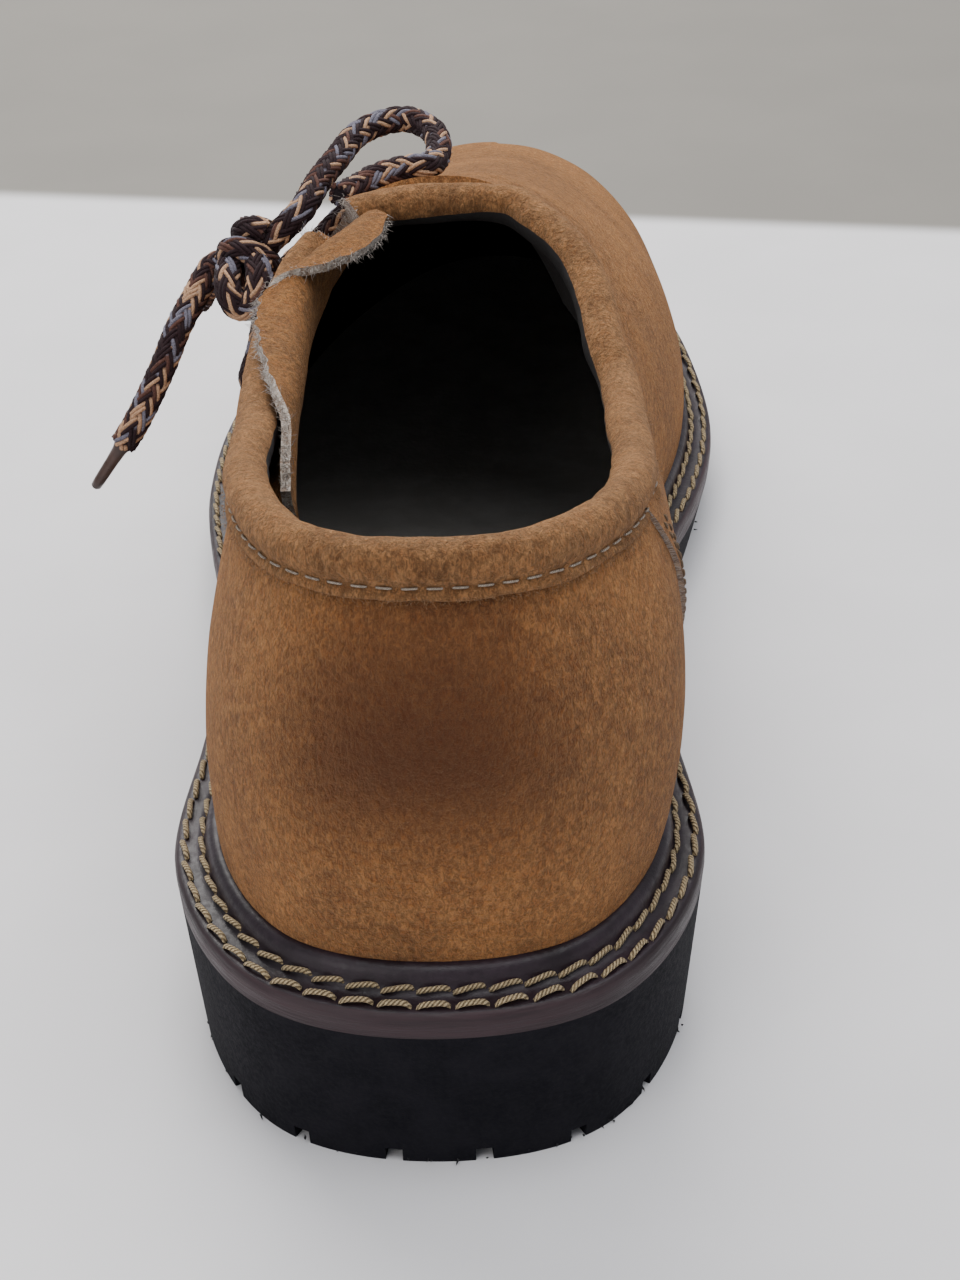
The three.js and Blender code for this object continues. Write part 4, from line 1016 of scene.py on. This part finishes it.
# Tongue rows: y, depth down the side, how far it hangs off the lining, and three points: where it
# leaves the side, its highest line and its free edge; z there is a share of the collar's height.
tongueRows = [
    (10, 14, 0.5, (-21.5, 10, .832), (-21.6, 9, .868), (-21.6, 8, .894)),
    (20, 22, 2.0, (-21.9, 20, .873), (-22.0, 19.5, .915), (-22.2, 19, .944)),
    (28, 30, 3.0, (-22.2, 28, .889), (-22.6, 27.5, .948), (-24.6, 27, .973)),
    (36, 34, 4.0, (-22.3, 36, .889), (-22.6, 36, .960), (-26.6, 35, .981)),
    (44, 38, 5.0, (-22.3, 44, .894), (-22.8, 44, .977), (-28.2, 43, .988)),
    (52, 42, 6.0, (-22.2, 52, .899), (-23.2, 52, .992), (-29.0, 51, .996)),
    (60, 45, 6.0, (-21.8, 60, .910), (-22.6, 59, 1.008), (-28.2, 56, 1.008)),
    (66, 47, 5.5, (-21.0, 66, .920), (-21.2, 64, 1.025), (-24.4, 59, 1.027)),
    (71, 48, 5.0, (-20.0, 71, .930), (-18.5, 68, 1.040), (-18.8, 60, 1.037)),
    (76, 50, 4.0, (-19.0, 76, .941), (-15.8, 72, 1.048), (-14.6, 62.5, 1.042)),
    (80, 52, 3.0, (-18.4, 79, .946), (-14.2, 75, 1.050), (-11.4, 67.5, 1.040)),
    (84, 54, 2.0, (-17.8, 82, .946), (-12.6, 78, 1.050), (-9.8, 73.5, 1.042)),
    (87, 55, 1.0, (-17.0, 84, .941), (-11.6, 79.6, 1.050), (-9.2, 77.5, 1.052)),
]
# Ahead of the free edge: y, how far across it reaches, depth down the side.
tongueFront = [(90, -14, 56), (97, -8, 58), (110, 0, 60), (124, 4, 60), (136, 2, 52)]
tongueSizes = {"step": 0.9 if fine else 2.5, "ribs": 46 if fine else 18, "thick": 1.5, "raggedness": 0.9}
tongueYs = np.arange(tongueRows[0][0], tongueFront[-1][0] + 0.01, tongueSizes["step"])


def tongueFoot(y, height, inner, deep, hang):
    i = 1
    while i < skinRows - 1 and skin[i, 0, 1] < y:
        i += 1
    a, b = skin[i - 1, 0, 1], skin[i, 0, 1]
    row = i - 1 + (y - a) / (b - a)
    top = 4.0
    j = 4.0
    while j <= skinColumns * 0.75:
        point, _ = skinAt(row, j)
        if point[2] > height or point[0] > inner:
            break
        top = j
        j += 0.25
    steps = []
    run = 0.0
    before = skinAt(row, top)[0]
    j = top
    while j > 0.5 and run < deep:
        point, normal = skinAt(row, j)
        run += np.linalg.norm(point - before)
        before = point
        steps.append(point - normal * (shoe["wall"] + 0.6 + hang * float(ease((run + 6) / deep))))
        j -= 0.25
    return steps


def tongueColumn(y, ribs):
    keys = [row[0] for row in tongueRows]
    if y > keys[-1]:
        inner = float(read(table(tongueFront, 0, 1), y))
        steps = tongueFoot(y, 1e9, inner, float(read(table(tongueFront, 0, 2), y)), 0)
    else:
        deep = float(read(table(tongueRows, 0, 1), y))
        hang = float(read(table(tongueRows, 0, 2), y))
        at = []
        for part in (5, 4, 3):
            xyz = [float(read((np.array(keys, float), np.array([row[part][k] for row in tongueRows])), y))
                   for k in range(3)]
            at.append(np.array([xyz[0], xyz[1], xyz[2] * shoe["collarHeight"]]))
        foot = tongueFoot(y, at[2][2] - 5, 1e9, deep, hang)
        steps = at + foot[max(1, len(foot) // 5)::max(1, len(foot) // 5)]
    path = curveThrough(steps[::3] + [steps[-1]] if len(steps) > 12 else steps, 0.5)
    return valuesAt(np.linspace(0, len(path) - 1, ribs + 1), np.arange(len(path)), path)


def makeTongue(sizes):
    grid = np.array([tongueColumn(y, sizes["ribs"]) for y in tongueYs])
    for i, y in enumerate(tongueYs):      # ragged free edge
        pull = noise.noise(Vector((y / 2.2, 0, 4))) * sizes["raggedness"]
        grid[i, 0] += unit(grid[i, 0] - grid[i, 1]) * pull
    ahead = np.gradient(grid, axis=0)
    down = np.gradient(grid, axis=1)
    normal = unit(np.cross(ahead, down))
    half = sizes["thick"] / 2
    columns, ribs = grid.shape[:2]
    wave = np.array([[0.35 * noise.noise(Vector(p) / 9.0) for p in column] for column in grid])[..., None]
    faceA = grid + normal * (wave - half)
    faceB = grid + normal * (wave + half)
    points = np.concatenate([faceA.reshape(-1, 3), faceB.reshape(-1, 3)])
    total = columns * ribs
    faces, indices = [], []

    def quad(loop, index):
        faces.append(loop)
        indices.append(index)

    for i in range(columns - 1):
        for k in range(ribs - 1):
            a, b = i * ribs + k, (i + 1) * ribs + k
            quad([a, b, b + 1, a + 1], 0)
            quad([total + a, total + a + 1, total + b + 1, total + b], 0)
        a, b = i * ribs, (i + 1) * ribs
        quad([a, total + a, total + b, b], 1)
        a, b = a + ribs - 1, b + ribs - 1
        quad([a, b, total + b, total + a], 1)
    last = (columns - 1) * ribs
    for k in range(ribs - 1):
        quad([k, k + 1, total + k + 1, total + k], 1)
        quad([last + k, total + last + k, total + last + k + 1, last + k + 1], 1)
    faces = outward(points, faces)
    return makeObject("tongueLeather", points, faces, [tongueSuede, tongueEdge], indices), grid


tongue, tongueGrid = makeTongue(tongueSizes)
finishMesh(tongue, 60)
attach(tongue, "root")
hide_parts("tongue")
print("tongue made")

# Lace: sixteen carriers of two yarns each, braided two over two; most yarns are dark, some tan, blue-grey
# or brown, each colour with its share.
laceSizes = {
    "width": shoe["cordWidth"], "carriers": 8, "ends": 2, "pitch": 22.0, "step": 0.5 if fine else 1.1,
    "yarnWidth": 0.66, "yarnThick": 0.46, "lift": 0.24,
    "colours": [((0.022, 0.010, 0.012), 0.56), ((0.42, 0.25, 0.15), 0.20), ((0.150, 0.140, 0.175), 0.12),
                ((0.090, 0.040, 0.030), 0.12)],
}
laceSeed = random.Random(7)


def pickYarn():
    value = laceSeed.random()
    for colour, part in laceSizes["colours"]:
        value -= part
        if value < 0:
            return colour
    return laceSizes["colours"][0][0]


def pathFrames(path):
    along = unit(np.gradient(path, axis=0))
    side = unit(np.cross(along[0], (0.2, 0.1, 1.0)))
    sides = []
    for direction in along:
        side = unit(side - direction * np.dot(side, direction))
        sides.append(side)
    return np.array(sides), np.cross(along, sides)


def makeBraid(name, routes):
    sizes = laceSizes
    points, faces, colours = [], [], []
    radius = sizes["width"] / 2 - sizes["yarnThick"] - sizes["lift"]
    carriers, ends = sizes["carriers"], sizes["ends"]
    for route in routes:
        path = curveThrough(route, sizes["step"])
        side, other = pathFrames(path)
        run = np.arange(len(path)) * sizes["step"] + laceSeed.random() * sizes["pitch"]
        crossed = 2 * carriers * run / sizes["pitch"]
        core = len(points)
        for i in range(len(path)):
            for k in range(8):
                a = 2 * math.pi * k / 8
                points.append(path[i] + (side[i] * math.cos(a) + other[i] * math.sin(a)) * radius)
                colours.append((0.012, 0.007, 0.009))
        faces += [[core + c for c in face] for face in sweepFaces(len(path), 8, False)]
        for way in (1, -1):
            for carrier in range(carriers):
                angle = way * 2 * math.pi * run / sizes["pitch"] + 2 * math.pi * carrier / carriers
                met = 2 * carrier + way * crossed - 0.5
                lift = way * np.cos(math.pi / 2 * met) * sizes["lift"]
                out = side * np.cos(angle)[:, None] + other * np.sin(angle)[:, None]
                centre = path + out * (radius + sizes["yarnThick"] * 0.5 + lift)[:, None]
                wide = unit(np.cross(unit(np.gradient(centre, axis=0)), out))
                for end in range(ends):
                    spread = (end - (ends - 1) / 2) * sizes["yarnWidth"]
                    begin = len(points)
                    yarn, floor = pickYarn(), None
                    for i in range(len(path)):
                        now = math.floor((met[i] + 1) / 4)
                        if now != floor:
                            floor = now
                            if laceSeed.random() < 0.6:
                                yarn = pickYarn()
                        for a in (0, 72, 144, 216, 288):
                            turn = math.radians(a)
                            across = spread + math.cos(turn) * sizes["yarnWidth"] * 0.62
                            high = math.sin(turn) * sizes["yarnThick"]
                            points.append(centre[i] + wide[i] * across + out[i] * high)
                            colours.append(yarn)
                    faces += [[begin + c for c in face] for face in sweepFaces(len(path), 5, False)]
    made = makeObject(name, points, faces, [laceYarn])
    paintYarn(made, colours)
    return made


largeLoop = [
    (-31.0, 86.5, 92.5), (-24.9, 88.0, 98.0), (-22.3, 95.5, 100.3), (-19.4, 103.6, 101.6),
    (-16.2, 112.3, 102.8), (-12.0, 116.1, 103.6), (-7.5, 116.9, 104.0), (-3.0, 112.4, 103.7),
    (-1.3, 106.4, 102.9), (-1.7, 101.1, 102.1), (-3.7, 97.2, 102.5), (-7.3, 96.7, 102.2),
    (-12.0, 94.9, 101.5), (-15.1, 91.8, 100.9), (-17.9, 87.4, 101.1),
]
smallLoop = [
    (-32.0, 82.0, 91.4), (-31.6, 78.5, 89.6), (-32.0, 77.0, 87.3), (-33.3, 76.5, 85.7),
    (-35.0, 76.5, 85.3), (-36.5, 77.0, 86.8), (-37.2, 79.0, 88.7), (-37.2, 83.0, 90.3),
]
nearEnd = [
    (-36.5, 87.5, 89.5), (-40.7, 89.7, 87.5), (-44.0, 85.1, 83.5), (-46.5, 80.3, 80.0),
    (-48.7, 76.2, 75.5), (-51.7, 72.6, 70.0), (-54.5, 70.1, 65.5), (-56.2, 70.1, 63.0),
]
farEnd = [
    (-34.4, 91.0, 87.5), (-35.5, 97.5, 84.5), (-39.0, 105.0, 81.5), (-42.6, 113.0, 76.5),
    (-45.6, 121.5, 71.0), (-48.2, 129.5, 65.5), (-50.4, 137.0, 60.0),
]
knot = {"centre": (-33.6, 86.5, 90.5), "axis": (0.55, 0.62, 0.56), "turns": 1.75, "radius": 3.5, "pitch": 4.6}


def routeLength(route):
    return float(np.linalg.norm(np.diff(curveThrough(route, 0.3), axis=0), axis=1).sum())


def freeCord(name, route, node):
    path = curveThrough(route, 1.0)
    made = finishMesh(makeBraid(name, [route]), 80)
    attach(made, "root")
    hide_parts(node)
    routeLength(route) * mm
    return made


def laceOver(index, side, lift):
    point, normal = eyeletPlace(index, side)
    return point + normal * lift


# Crossings run up through an eyelet, over the slit and down into the next one.
def crossing(start, end, lift):
    a, b = laceOver(*start, -1.2), laceOver(*end, -1.2)
    aUp, bUp = laceOver(*start, 1.5), laceOver(*end, 1.5)
    part = (upperSizes["eyelets"][start[0]] + upperSizes["eyelets"][end[0]]) / 2
    point, normal, _, _ = slitPlace(part)
    middle = point + normal * (shoe["cordWidth"] / 2 + 0.7 + lift)
    return [a, aUp, aUp * 0.5 + middle * 0.5, middle, bUp * 0.5 + middle * 0.5, bUp, b]


crossings = [crossing((2, -1), (2, 1), 0), crossing((2, -1), (1, 1), 1.2), crossing((2, 1), (1, -1), 0.4),
             crossing((1, -1), (0, 1), 1.2), crossing((1, 1), (0, -1), 0.4)]
laceBars = finishMesh(makeBraid("laceCrossings", crossings), 80)
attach(laceBars, "root")
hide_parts("lace_crossings")


def knotRoutes(sizes):
    axis = unit(sizes["axis"])
    first = unit(np.cross(axis, (0, 0, 1)))
    second = np.cross(axis, first)
    centre = np.array(sizes["centre"])
    wraps = []
    for k in range(int(sizes["turns"] * 12) + 1):
        angle = 2 * math.pi * k / 12 + 0.7
        rise = sizes["pitch"] * (k / 12 - sizes["turns"] / 2)
        away = first * math.cos(angle) + second * math.sin(angle)
        wraps.append(centre + axis * rise + away * sizes["radius"])
    through = [centre - axis * 5.5 + second * 1.0, centre - axis * 2, centre + axis * 2, centre + axis * 6.5]
    return [wraps, through]


knotPiece = finishMesh(makeBraid("laceKnot", knotRoutes(knot) + [smallLoop]), 80)
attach(knotPiece, "root")
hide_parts("lace_knot", "lace_loop_small")


# Aglet rings: mm beyond the lace's end, half width, half thickness.
agletRings = [
    (-1.2, 1.9, 1.8), (0.2, 1.75, 1.6), (1.6, 1.45, 1.25), (4, 1.4, 1.1), (8.5, 1.35, 1.0),
    (10.0, 1.25, 0.9), (10.3, 0.9, 0.6),
]


def makeAglet(name, route, node):
    tip, before = np.array(route[-1]), np.array(route[-2])
    away = unit(tip - before)
    side = unit(np.cross(away, (0.2, 0.1, 1)))
    other = np.cross(away, side)
    rings = []
    for run, wide, flat in agletRings:
        ring = [tip + away * run + side * math.cos(a) * wide + other * math.sin(a) * flat
                for a in np.linspace(0, 2 * math.pi, 17)[:-1]]
        rings.append(ring)
    made = finishMesh(sweep(name, rings, False, [agletFilm]), 50)
    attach(made, "root")
    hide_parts(node)
    return made


agletNear = makeAglet("agletNear", nearEnd, "aglet_near")
agletFar = makeAglet("agletFar", farEnd, "aglet_far")
freeCord("laceLoopLarge", largeLoop, "lace_loop_large")
freeCord("laceEndNear", nearEnd, "lace_end_near")
freeCord("laceEndFar", farEnd, "lace_end_far")
print("lace made")

# Stitches: a twisted thread between two holes, set along a path by Geometry Nodes.
stitchRows = {
    "weltInner": {"length": 5.0, "pitch": 5.2, "width": 0.92, "bow": 0.85, "slant": 0.32, "out": 3.0,
                  "up": 0.95, "tilt": 0.55, "seed": 3, "colour": (0.44, 0.34, 0.20)},
    "weltOuter": {"length": 4.9, "pitch": 5.6, "width": 0.92, "bow": 0.85, "slant": 0.25, "out": 5.9,
                  "up": 0.42, "tilt": 0.12, "seed": 5, "colour": (0.44, 0.34, 0.20)},
    "collar": {"length": 2.2, "pitch": 3.4, "width": 0.34, "bow": 0.25, "slant": 0.0,
               "seed": 8, "colour": (0.50, 0.42, 0.34)},
    "seam": {"length": 2.1, "pitch": 3.0, "width": 0.40, "bow": 0.22, "slant": 0.0,
             "seed": 11, "colour": (0.26, 0.17, 0.10),
             "lines": [(1, 34, -4, 1.9, 15, 150), (1, 34, -4, 4.3, 15, 150), (-1, 106, 128, 1.9, 30, 50)]},
}


# One stitch of twisted thread; its UV map runs along and around it and carries the twist.
def makeStitch(row):
    length, width, bow, slant = row["length"], row["width"], row["bow"], row["slant"]
    steps, sides = 9, 6
    points = []
    for i in range(steps):
        t = i / (steps - 1)
        rise = bow * (1 - (2 * t - 1) ** 4) - 0.35 * bow
        thick = width / 2 * (0.78 if i in (0, steps - 1) else 1.0)
        for k in range(sides):
            a = 2 * math.pi * k / sides
            points.append(((t - 0.5) * length, thick * math.cos(a) + slant * math.sin(math.pi * (t - 0.5)),
                           thick * math.sin(a) + rise))
    faces = [face[::-1] for face in sweepFaces(steps, sides, False)]
    made = makeObject("stitch", points, faces, [twistedThread])
    places = []
    for face in faces:
        wraps = len(face) == 4 and {corner % sides for corner in face} == {0, sides - 1}
        for corner in face:
            around = corner % sides / sides
            places += [corner // sides / (steps - 1), 1.0 if wraps and around == 0 else around]
    made.data.uv_layers.new(name="UVMap").data.foreach_set("uv", places)
    paintYarn(made, [row["colour"]] * len(points))
    return made


def stitchTree():
    tree = bpy.data.node_groups.new("stitchesAlongPath", "GeometryNodeTree")
    for name, kind in (("Geometry", "NodeSocketGeometry"), ("Stitch", "NodeSocketObject"),
                       ("Pitch", "NodeSocketFloat"), ("Jitter", "NodeSocketFloat"), ("Seed", "NodeSocketInt"),
                       ("Material", "NodeSocketMaterial")):
        tree.interface.new_socket(name, in_out="INPUT", socket_type=kind)
    tree.interface.new_socket("Geometry", in_out="OUTPUT", socket_type="NodeSocketGeometry")
    nodes = tree.nodes
    enter, leave = nodes.new("NodeGroupInput"), nodes.new("NodeGroupOutput")
    curve = nodes.new("GeometryNodeMeshToCurve")
    spread = nodes.new("GeometryNodeResampleCurve")
    spread.mode = "LENGTH"
    facing = nodes.new("GeometryNodeInputNamedAttribute")
    facing.data_type = "FLOAT_VECTOR"
    facing.inputs["Name"].default_value = "facing"
    tangent = nodes.new("GeometryNodeInputTangent")
    first = nodes.new("FunctionNodeAlignRotationToVector")
    first.axis = "X"
    second = nodes.new("FunctionNodeAlignRotationToVector")
    second.axis = "Z"
    second.pivot_axis = "X"
    source = nodes.new("GeometryNodeObjectInfo")
    wobble = nodes.new("FunctionNodeRandomValue")
    wobble.data_type = "FLOAT_VECTOR"
    turned = nodes.new("FunctionNodeRotateRotation")
    turned.rotation_space = "LOCAL"
    onPoints = nodes.new("GeometryNodeInstanceOnPoints")
    real = nodes.new("GeometryNodeRealizeInstances")
    paint = nodes.new("GeometryNodeSetMaterial")
    for output, socket in (
            (enter.outputs["Geometry"], curve.inputs[0]),
            (curve.outputs[0], spread.inputs["Curve"]),
            (enter.outputs["Pitch"], spread.inputs["Length"]),
            (tangent.outputs[0], first.inputs["Vector"]),
            (first.outputs[0], second.inputs["Rotation"]),
            (facing.outputs["Attribute"], second.inputs["Vector"]),
            (mathOf(tree, "MULTIPLY", enter.outputs["Jitter"], -1.0), wobble.inputs[0]),
            (enter.outputs["Jitter"], wobble.inputs[1]),
            (enter.outputs["Seed"], wobble.inputs["Seed"]),
            (second.outputs[0], turned.inputs["Rotation"]),
            (wobble.outputs[0], turned.inputs["Rotate By"]),
            (enter.outputs["Stitch"], source.inputs["Object"]),
            (spread.outputs[0], onPoints.inputs["Points"]),
            (source.outputs["Geometry"], onPoints.inputs["Instance"]),
            (turned.outputs[0], onPoints.inputs["Rotation"]),
            (onPoints.outputs[0], real.inputs[0]),
            (real.outputs[0], paint.inputs["Geometry"]),
            (enter.outputs["Material"], paint.inputs["Material"]),
            (paint.outputs[0], leave.inputs[0])):
        tree.links.new(output, socket)
    return tree


stitchNodes = stitchTree()


def setInput(modifier, name, value):
    for item in modifier.node_group.interface.items_tree:
        if item.item_type == "SOCKET" and item.in_out == "INPUT" and item.name == name:
            modifier[item.identifier] = value


def layStitches(name, paths, row, jitter):
    source = makeStitch(row)
    points, edges, facing = [], [], []
    for path, normals, loop in paths:
        begin = len(points)
        points.extend(path.tolist())
        facing.extend(normals.tolist())
        edges.extend([(begin + i, begin + i + 1) for i in range(len(path) - 1)])
        if loop:
            edges.append((begin + len(path) - 1, begin))
    mesh = bpy.data.meshes.new(name)
    mesh.from_pydata((np.array(points) * mm).tolist(), edges, [])
    layer = mesh.attributes.new("facing", "FLOAT_VECTOR", "POINT")
    layer.data.foreach_set("vector", np.array(facing).ravel())
    made = bpy.data.objects.new(name, mesh)
    bpy.context.scene.collection.objects.link(made)
    modifier = made.modifiers.new("stitches", "NODES")
    modifier.node_group = stitchNodes
    for key, value in (("Stitch", source), ("Pitch", row["pitch"] * mm), ("Jitter", jitter),
                       ("Seed", row["seed"]), ("Material", twistedThread)):
        setInput(modifier, key, value)
    settle(made)
    discard(source)
    if len(made.data.materials) == 0:
        made.data.materials.append(twistedThread)
    made.data.shade_smooth()
    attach(made, "root")
    return made


fineTurns = np.arange(900) / 900


def weltPath(out, up):
    flat = outline(out, fineTurns)
    path = np.column_stack([flat, weltTop(flat[:, 1]) + up])
    _, normal = featherAt(fineTurns)
    return path, normal


for name in ("weltInner", "weltOuter"):
    row = stitchRows[name]
    path, normal = weltPath(row["out"], row["up"])
    facing = unit(np.column_stack([normal * row["tilt"], np.ones(len(normal))]))
    layStitches(name + "Stitches", [(path, facing, True)], row, 0.07)

collarPath, collarFacing = [], []
for run in np.arange(bandStart + 4, bandEnd - 4, 0.8):
    point, normal, up, _ = toplineFrame(run)
    out, high = bandSizes["stitchLine"]
    collarPath.append(point + normal * (out + 0.02) + up * high)
    collarFacing.append(normal)
layStitches("collarStitches", [(np.array(collarPath), np.array(collarFacing), False)], stitchRows["collar"],
            0.05)


# Seam rows on the vamp beside its edge, medial and lateral. Each line gives its side, the y of the edge
# at its foot and head, the inset from it, and the least distance out and greatest height that it keeps.
def seamPath(side, foot, head, inset):
    path, facing = [], []
    for j in range(2, 60):
        column = j if side < 0 else skinColumns - j
        for i in range(2, skinRows - 2):
            a, b = skin[i, column], skin[i + 1, column]
            lineA = foot + (head - foot) * (a[2] - 30) / 60 + inset
            lineB = foot + (head - foot) * (b[2] - 30) / 60 + inset
            if a[1] - lineA < 0 <= b[1] - lineB:
                u = (lineA - a[1]) / ((b[1] - a[1]) - (lineB - lineA))
                point, normal = skinAt(i + u, column)
                if point[2] < toplineHeight(point[0], point[1]) - 7 and point[2] > weltTop(point[1]) + 5:
                    path.append(point + normal * (shoe["vampStep"] + relief(point) + 0.03))
                    facing.append(normal)
                break
    return np.array(path), np.array(facing)


seams = []
for side, foot, head, inset, least, highest in stitchRows["seam"]["lines"]:
    path, facing = seamPath(side, foot, head, inset)
    keep = (path[:, 0] * side > least) & (path[:, 2] < highest)
    if keep.sum() > 2:
        seams.append((path[keep], facing[keep], False))
layStitches("seamStitches", seams, stitchRows["seam"], 0.05)
print("stitches made")


# Loose fibres along the raw edges, as thin three-sided hairs.
hairSizes = {"perMm": 7.0 if fine else 1.5, "length": (0.5, 1.7), "width": 0.045, "scatter": 0.35,
             "spread": 0.75, "curl": 0.2, "lowest": 0.05}


def makeHairs(name, paths, seed, colour, size=1.0, density=1.0, fat=1.0):
    pick = random.Random(seed)
    thin = hairSizes["width"] * fat
    points, faces, colours = [], [], []
    for path, directions in paths:
        run = runOf(path)
        for _ in range(int(run[-1] * hairSizes["perMm"] * density)):
            goal = pick.random() * run[-1]
            lean = unit(valuesAt(goal, run, directions))
            scatter = np.array([pick.gauss(0, 1) for _ in range(3)])
            root = valuesAt(goal, run, path) + scatter * hairSizes["scatter"]
            way = unit(lean + np.array([pick.gauss(0, 1) for _ in range(3)]) * hairSizes["spread"])
            length = pick.uniform(*hairSizes["length"]) * size
            side = unit(np.cross(way, scatter + (0.01, 0.02, 0.03))) * thin
            other = np.cross(way, side)
            curl = np.array([pick.gauss(0, 1) for _ in range(3)]) * hairSizes["curl"] * length
            begin = len(points)
            for t, taper in ((0, 1.0), (0.55, 0.7)):
                middle = root + way * length * t + curl * t * t
                for a in (0, 2.094, 4.189):
                    points.append(middle + (side * math.cos(a) + other * math.sin(a)) * taper)
            points.append(root + way * length + curl)
            faces += [[begin, begin + 1, begin + 4, begin + 3], [begin + 1, begin + 2, begin + 5, begin + 4],
                      [begin + 2, begin, begin + 3, begin + 5], [begin + 3, begin + 4, begin + 6],
                      [begin + 4, begin + 5, begin + 6], [begin + 5, begin + 3, begin + 6],
                      [begin + 2, begin + 1, begin]]
            for point in points[begin:]:
                point[2] = max(point[2], hairSizes["lowest"])
            tone = pick.uniform(0.75, 1.15)
            colours += [[c * tone for c in colour]] * 7
    made = makeObject(name, points, faces, [thread])
    paintYarn(made, colours)
    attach(made, "root")
    return made


edgePath = tongueGrid[:, 0]
edgeOut = unit(tongueGrid[:, 0] - tongueGrid[:, 2])
free = int(np.searchsorted(tongueYs, tongueRows[-1][0]))
lowPath, lowOut = [], []
for run in np.arange(bandStart + 1, bandEnd - 1, 2.0):
    point, normal, up, _ = toplineFrame(run)
    lowPath.append(point + normal * 1.2 - up * 6.0)
    lowOut.append(normal * 0.5 - up)


# The band's end around its section, with the way its fibres point.
def bandCut(run, way):
    point, normal, up, along = toplineFrame(run)
    path = np.array([point + normal * a + up * b for a, b in bandSizes["section"]])
    return path, np.tile(along * way, (len(path), 1))


freeEdge = (edgePath[:free], edgeOut[:free])
makeHairs("edgeFibres", [freeEdge, freeEdge, bandCut(bandStart, -1), bandCut(bandEnd, 1)], 21,
          (0.42, 0.37, 0.33))
makeHairs("bandFibres", [(np.array(lowPath), np.array(lowOut))], 22, (0.30, 0.17, 0.085), 0.5)
flat = outline(shoe["flange"] - 2.6, fineTurns)
tread = np.column_stack([flat, treadLevel(flat[:, 1]) + 0.5])
_, treadOut = featherAt(fineTurns)
makeHairs("rubberBurrs", [(tread, np.column_stack([treadOut, np.zeros(len(treadOut)) + 0.3]))], 23,
          (0.012, 0.011, 0.014), 0.6, 0.045, 5.0)
print("fibres made")

# A pale floor with a darker one beyond its far edge, and soft light from above and beyond.
stageSizes = {
    "edgeY": 331.0, "slant": 0.138, "softness": 5.0, "reach": 2200.0, "speckScale": 22.0, "roughness": 0.7,
    "near": (0.70, 0.685, 0.695), "far": (0.200, 0.188, 0.168),
}


def makeStage(sizes):
    reach = sizes["reach"]
    points = [(-reach, -reach, 0), (reach, -reach, 0), (reach, reach, 0), (-reach, reach, 0)]
    material, tree, body = newMaterial("stagePaper")
    spot = objectPlace(tree)
    axes = axesOf(tree, spot)
    far = mathOf(tree, "ADD", axes["Y"], mathOf(tree, "MULTIPLY", axes["X"], sizes["slant"]))
    edge, soft = sizes["edgeY"] * mm, sizes["softness"] * mm
    beyond = rangeOf(tree, far, edge - soft, edge + soft)
    speck = rangeOf(tree, noiseOf(tree, spot, sizes["speckScale"], 3.0, 0.5), 0.3, 0.7, 0.97, 1.02)
    colour = mixOf(tree, beyond, sizes["near"], sizes["far"])
    tree.links.new(mixOf(tree, 1.0, colour, greyOf(tree, speck), "MULTIPLY"), body.inputs["Base Color"])
    body.inputs["Roughness"].default_value = sizes["roughness"]
    body.inputs["Specular IOR Level"].default_value = 0.25
    makeObject("stagePaper", points, [[0, 1, 2, 3]], [material])


makeStage(stageSizes)
lights = {
    "window": {"at": (-250, 900, 900), "aim": (0, 60, 20), "size": 1100, "power": 20.0,
               "colour": (1.0, 0.98, 0.95)},
    "overhead": {"at": (150, -50, 1100), "aim": (0, 60, 0), "size": 1300, "power": 13.0,
                 "colour": (0.97, 0.98, 1.0)},
    "front": {"at": (-700, -900, 600), "aim": (0, 0, 40), "size": 900, "power": 4.6,
              "colour": (1.0, 0.97, 0.94)},
}


def makeLight(name, sizes):
    data = bpy.data.lights.new(name, "AREA")
    data.shape = "DISK"
    data.size = sizes["size"] * mm
    data.energy = sizes["power"]
    data.color = sizes["colour"]
    made = bpy.data.objects.new(name, data)
    bpy.context.scene.collection.objects.link(made)
    spot = Vector(sizes["at"]) * mm
    made.location = spot
    made.rotation_euler = (Vector(sizes["aim"]) * mm - spot).to_track_quat("-Z", "Y").to_euler()


for name, sizes in lights.items():
    makeLight(name, sizes)
world = bpy.data.worlds.new("world")
world.use_nodes = True
sky = world.node_tree.nodes["Background"]
sky.inputs["Color"].default_value = (0.80, 0.84, 0.90, 1)
sky.inputs["Strength"].default_value = 0.55
bpy.context.scene.world = world
print("stage and lights ready")
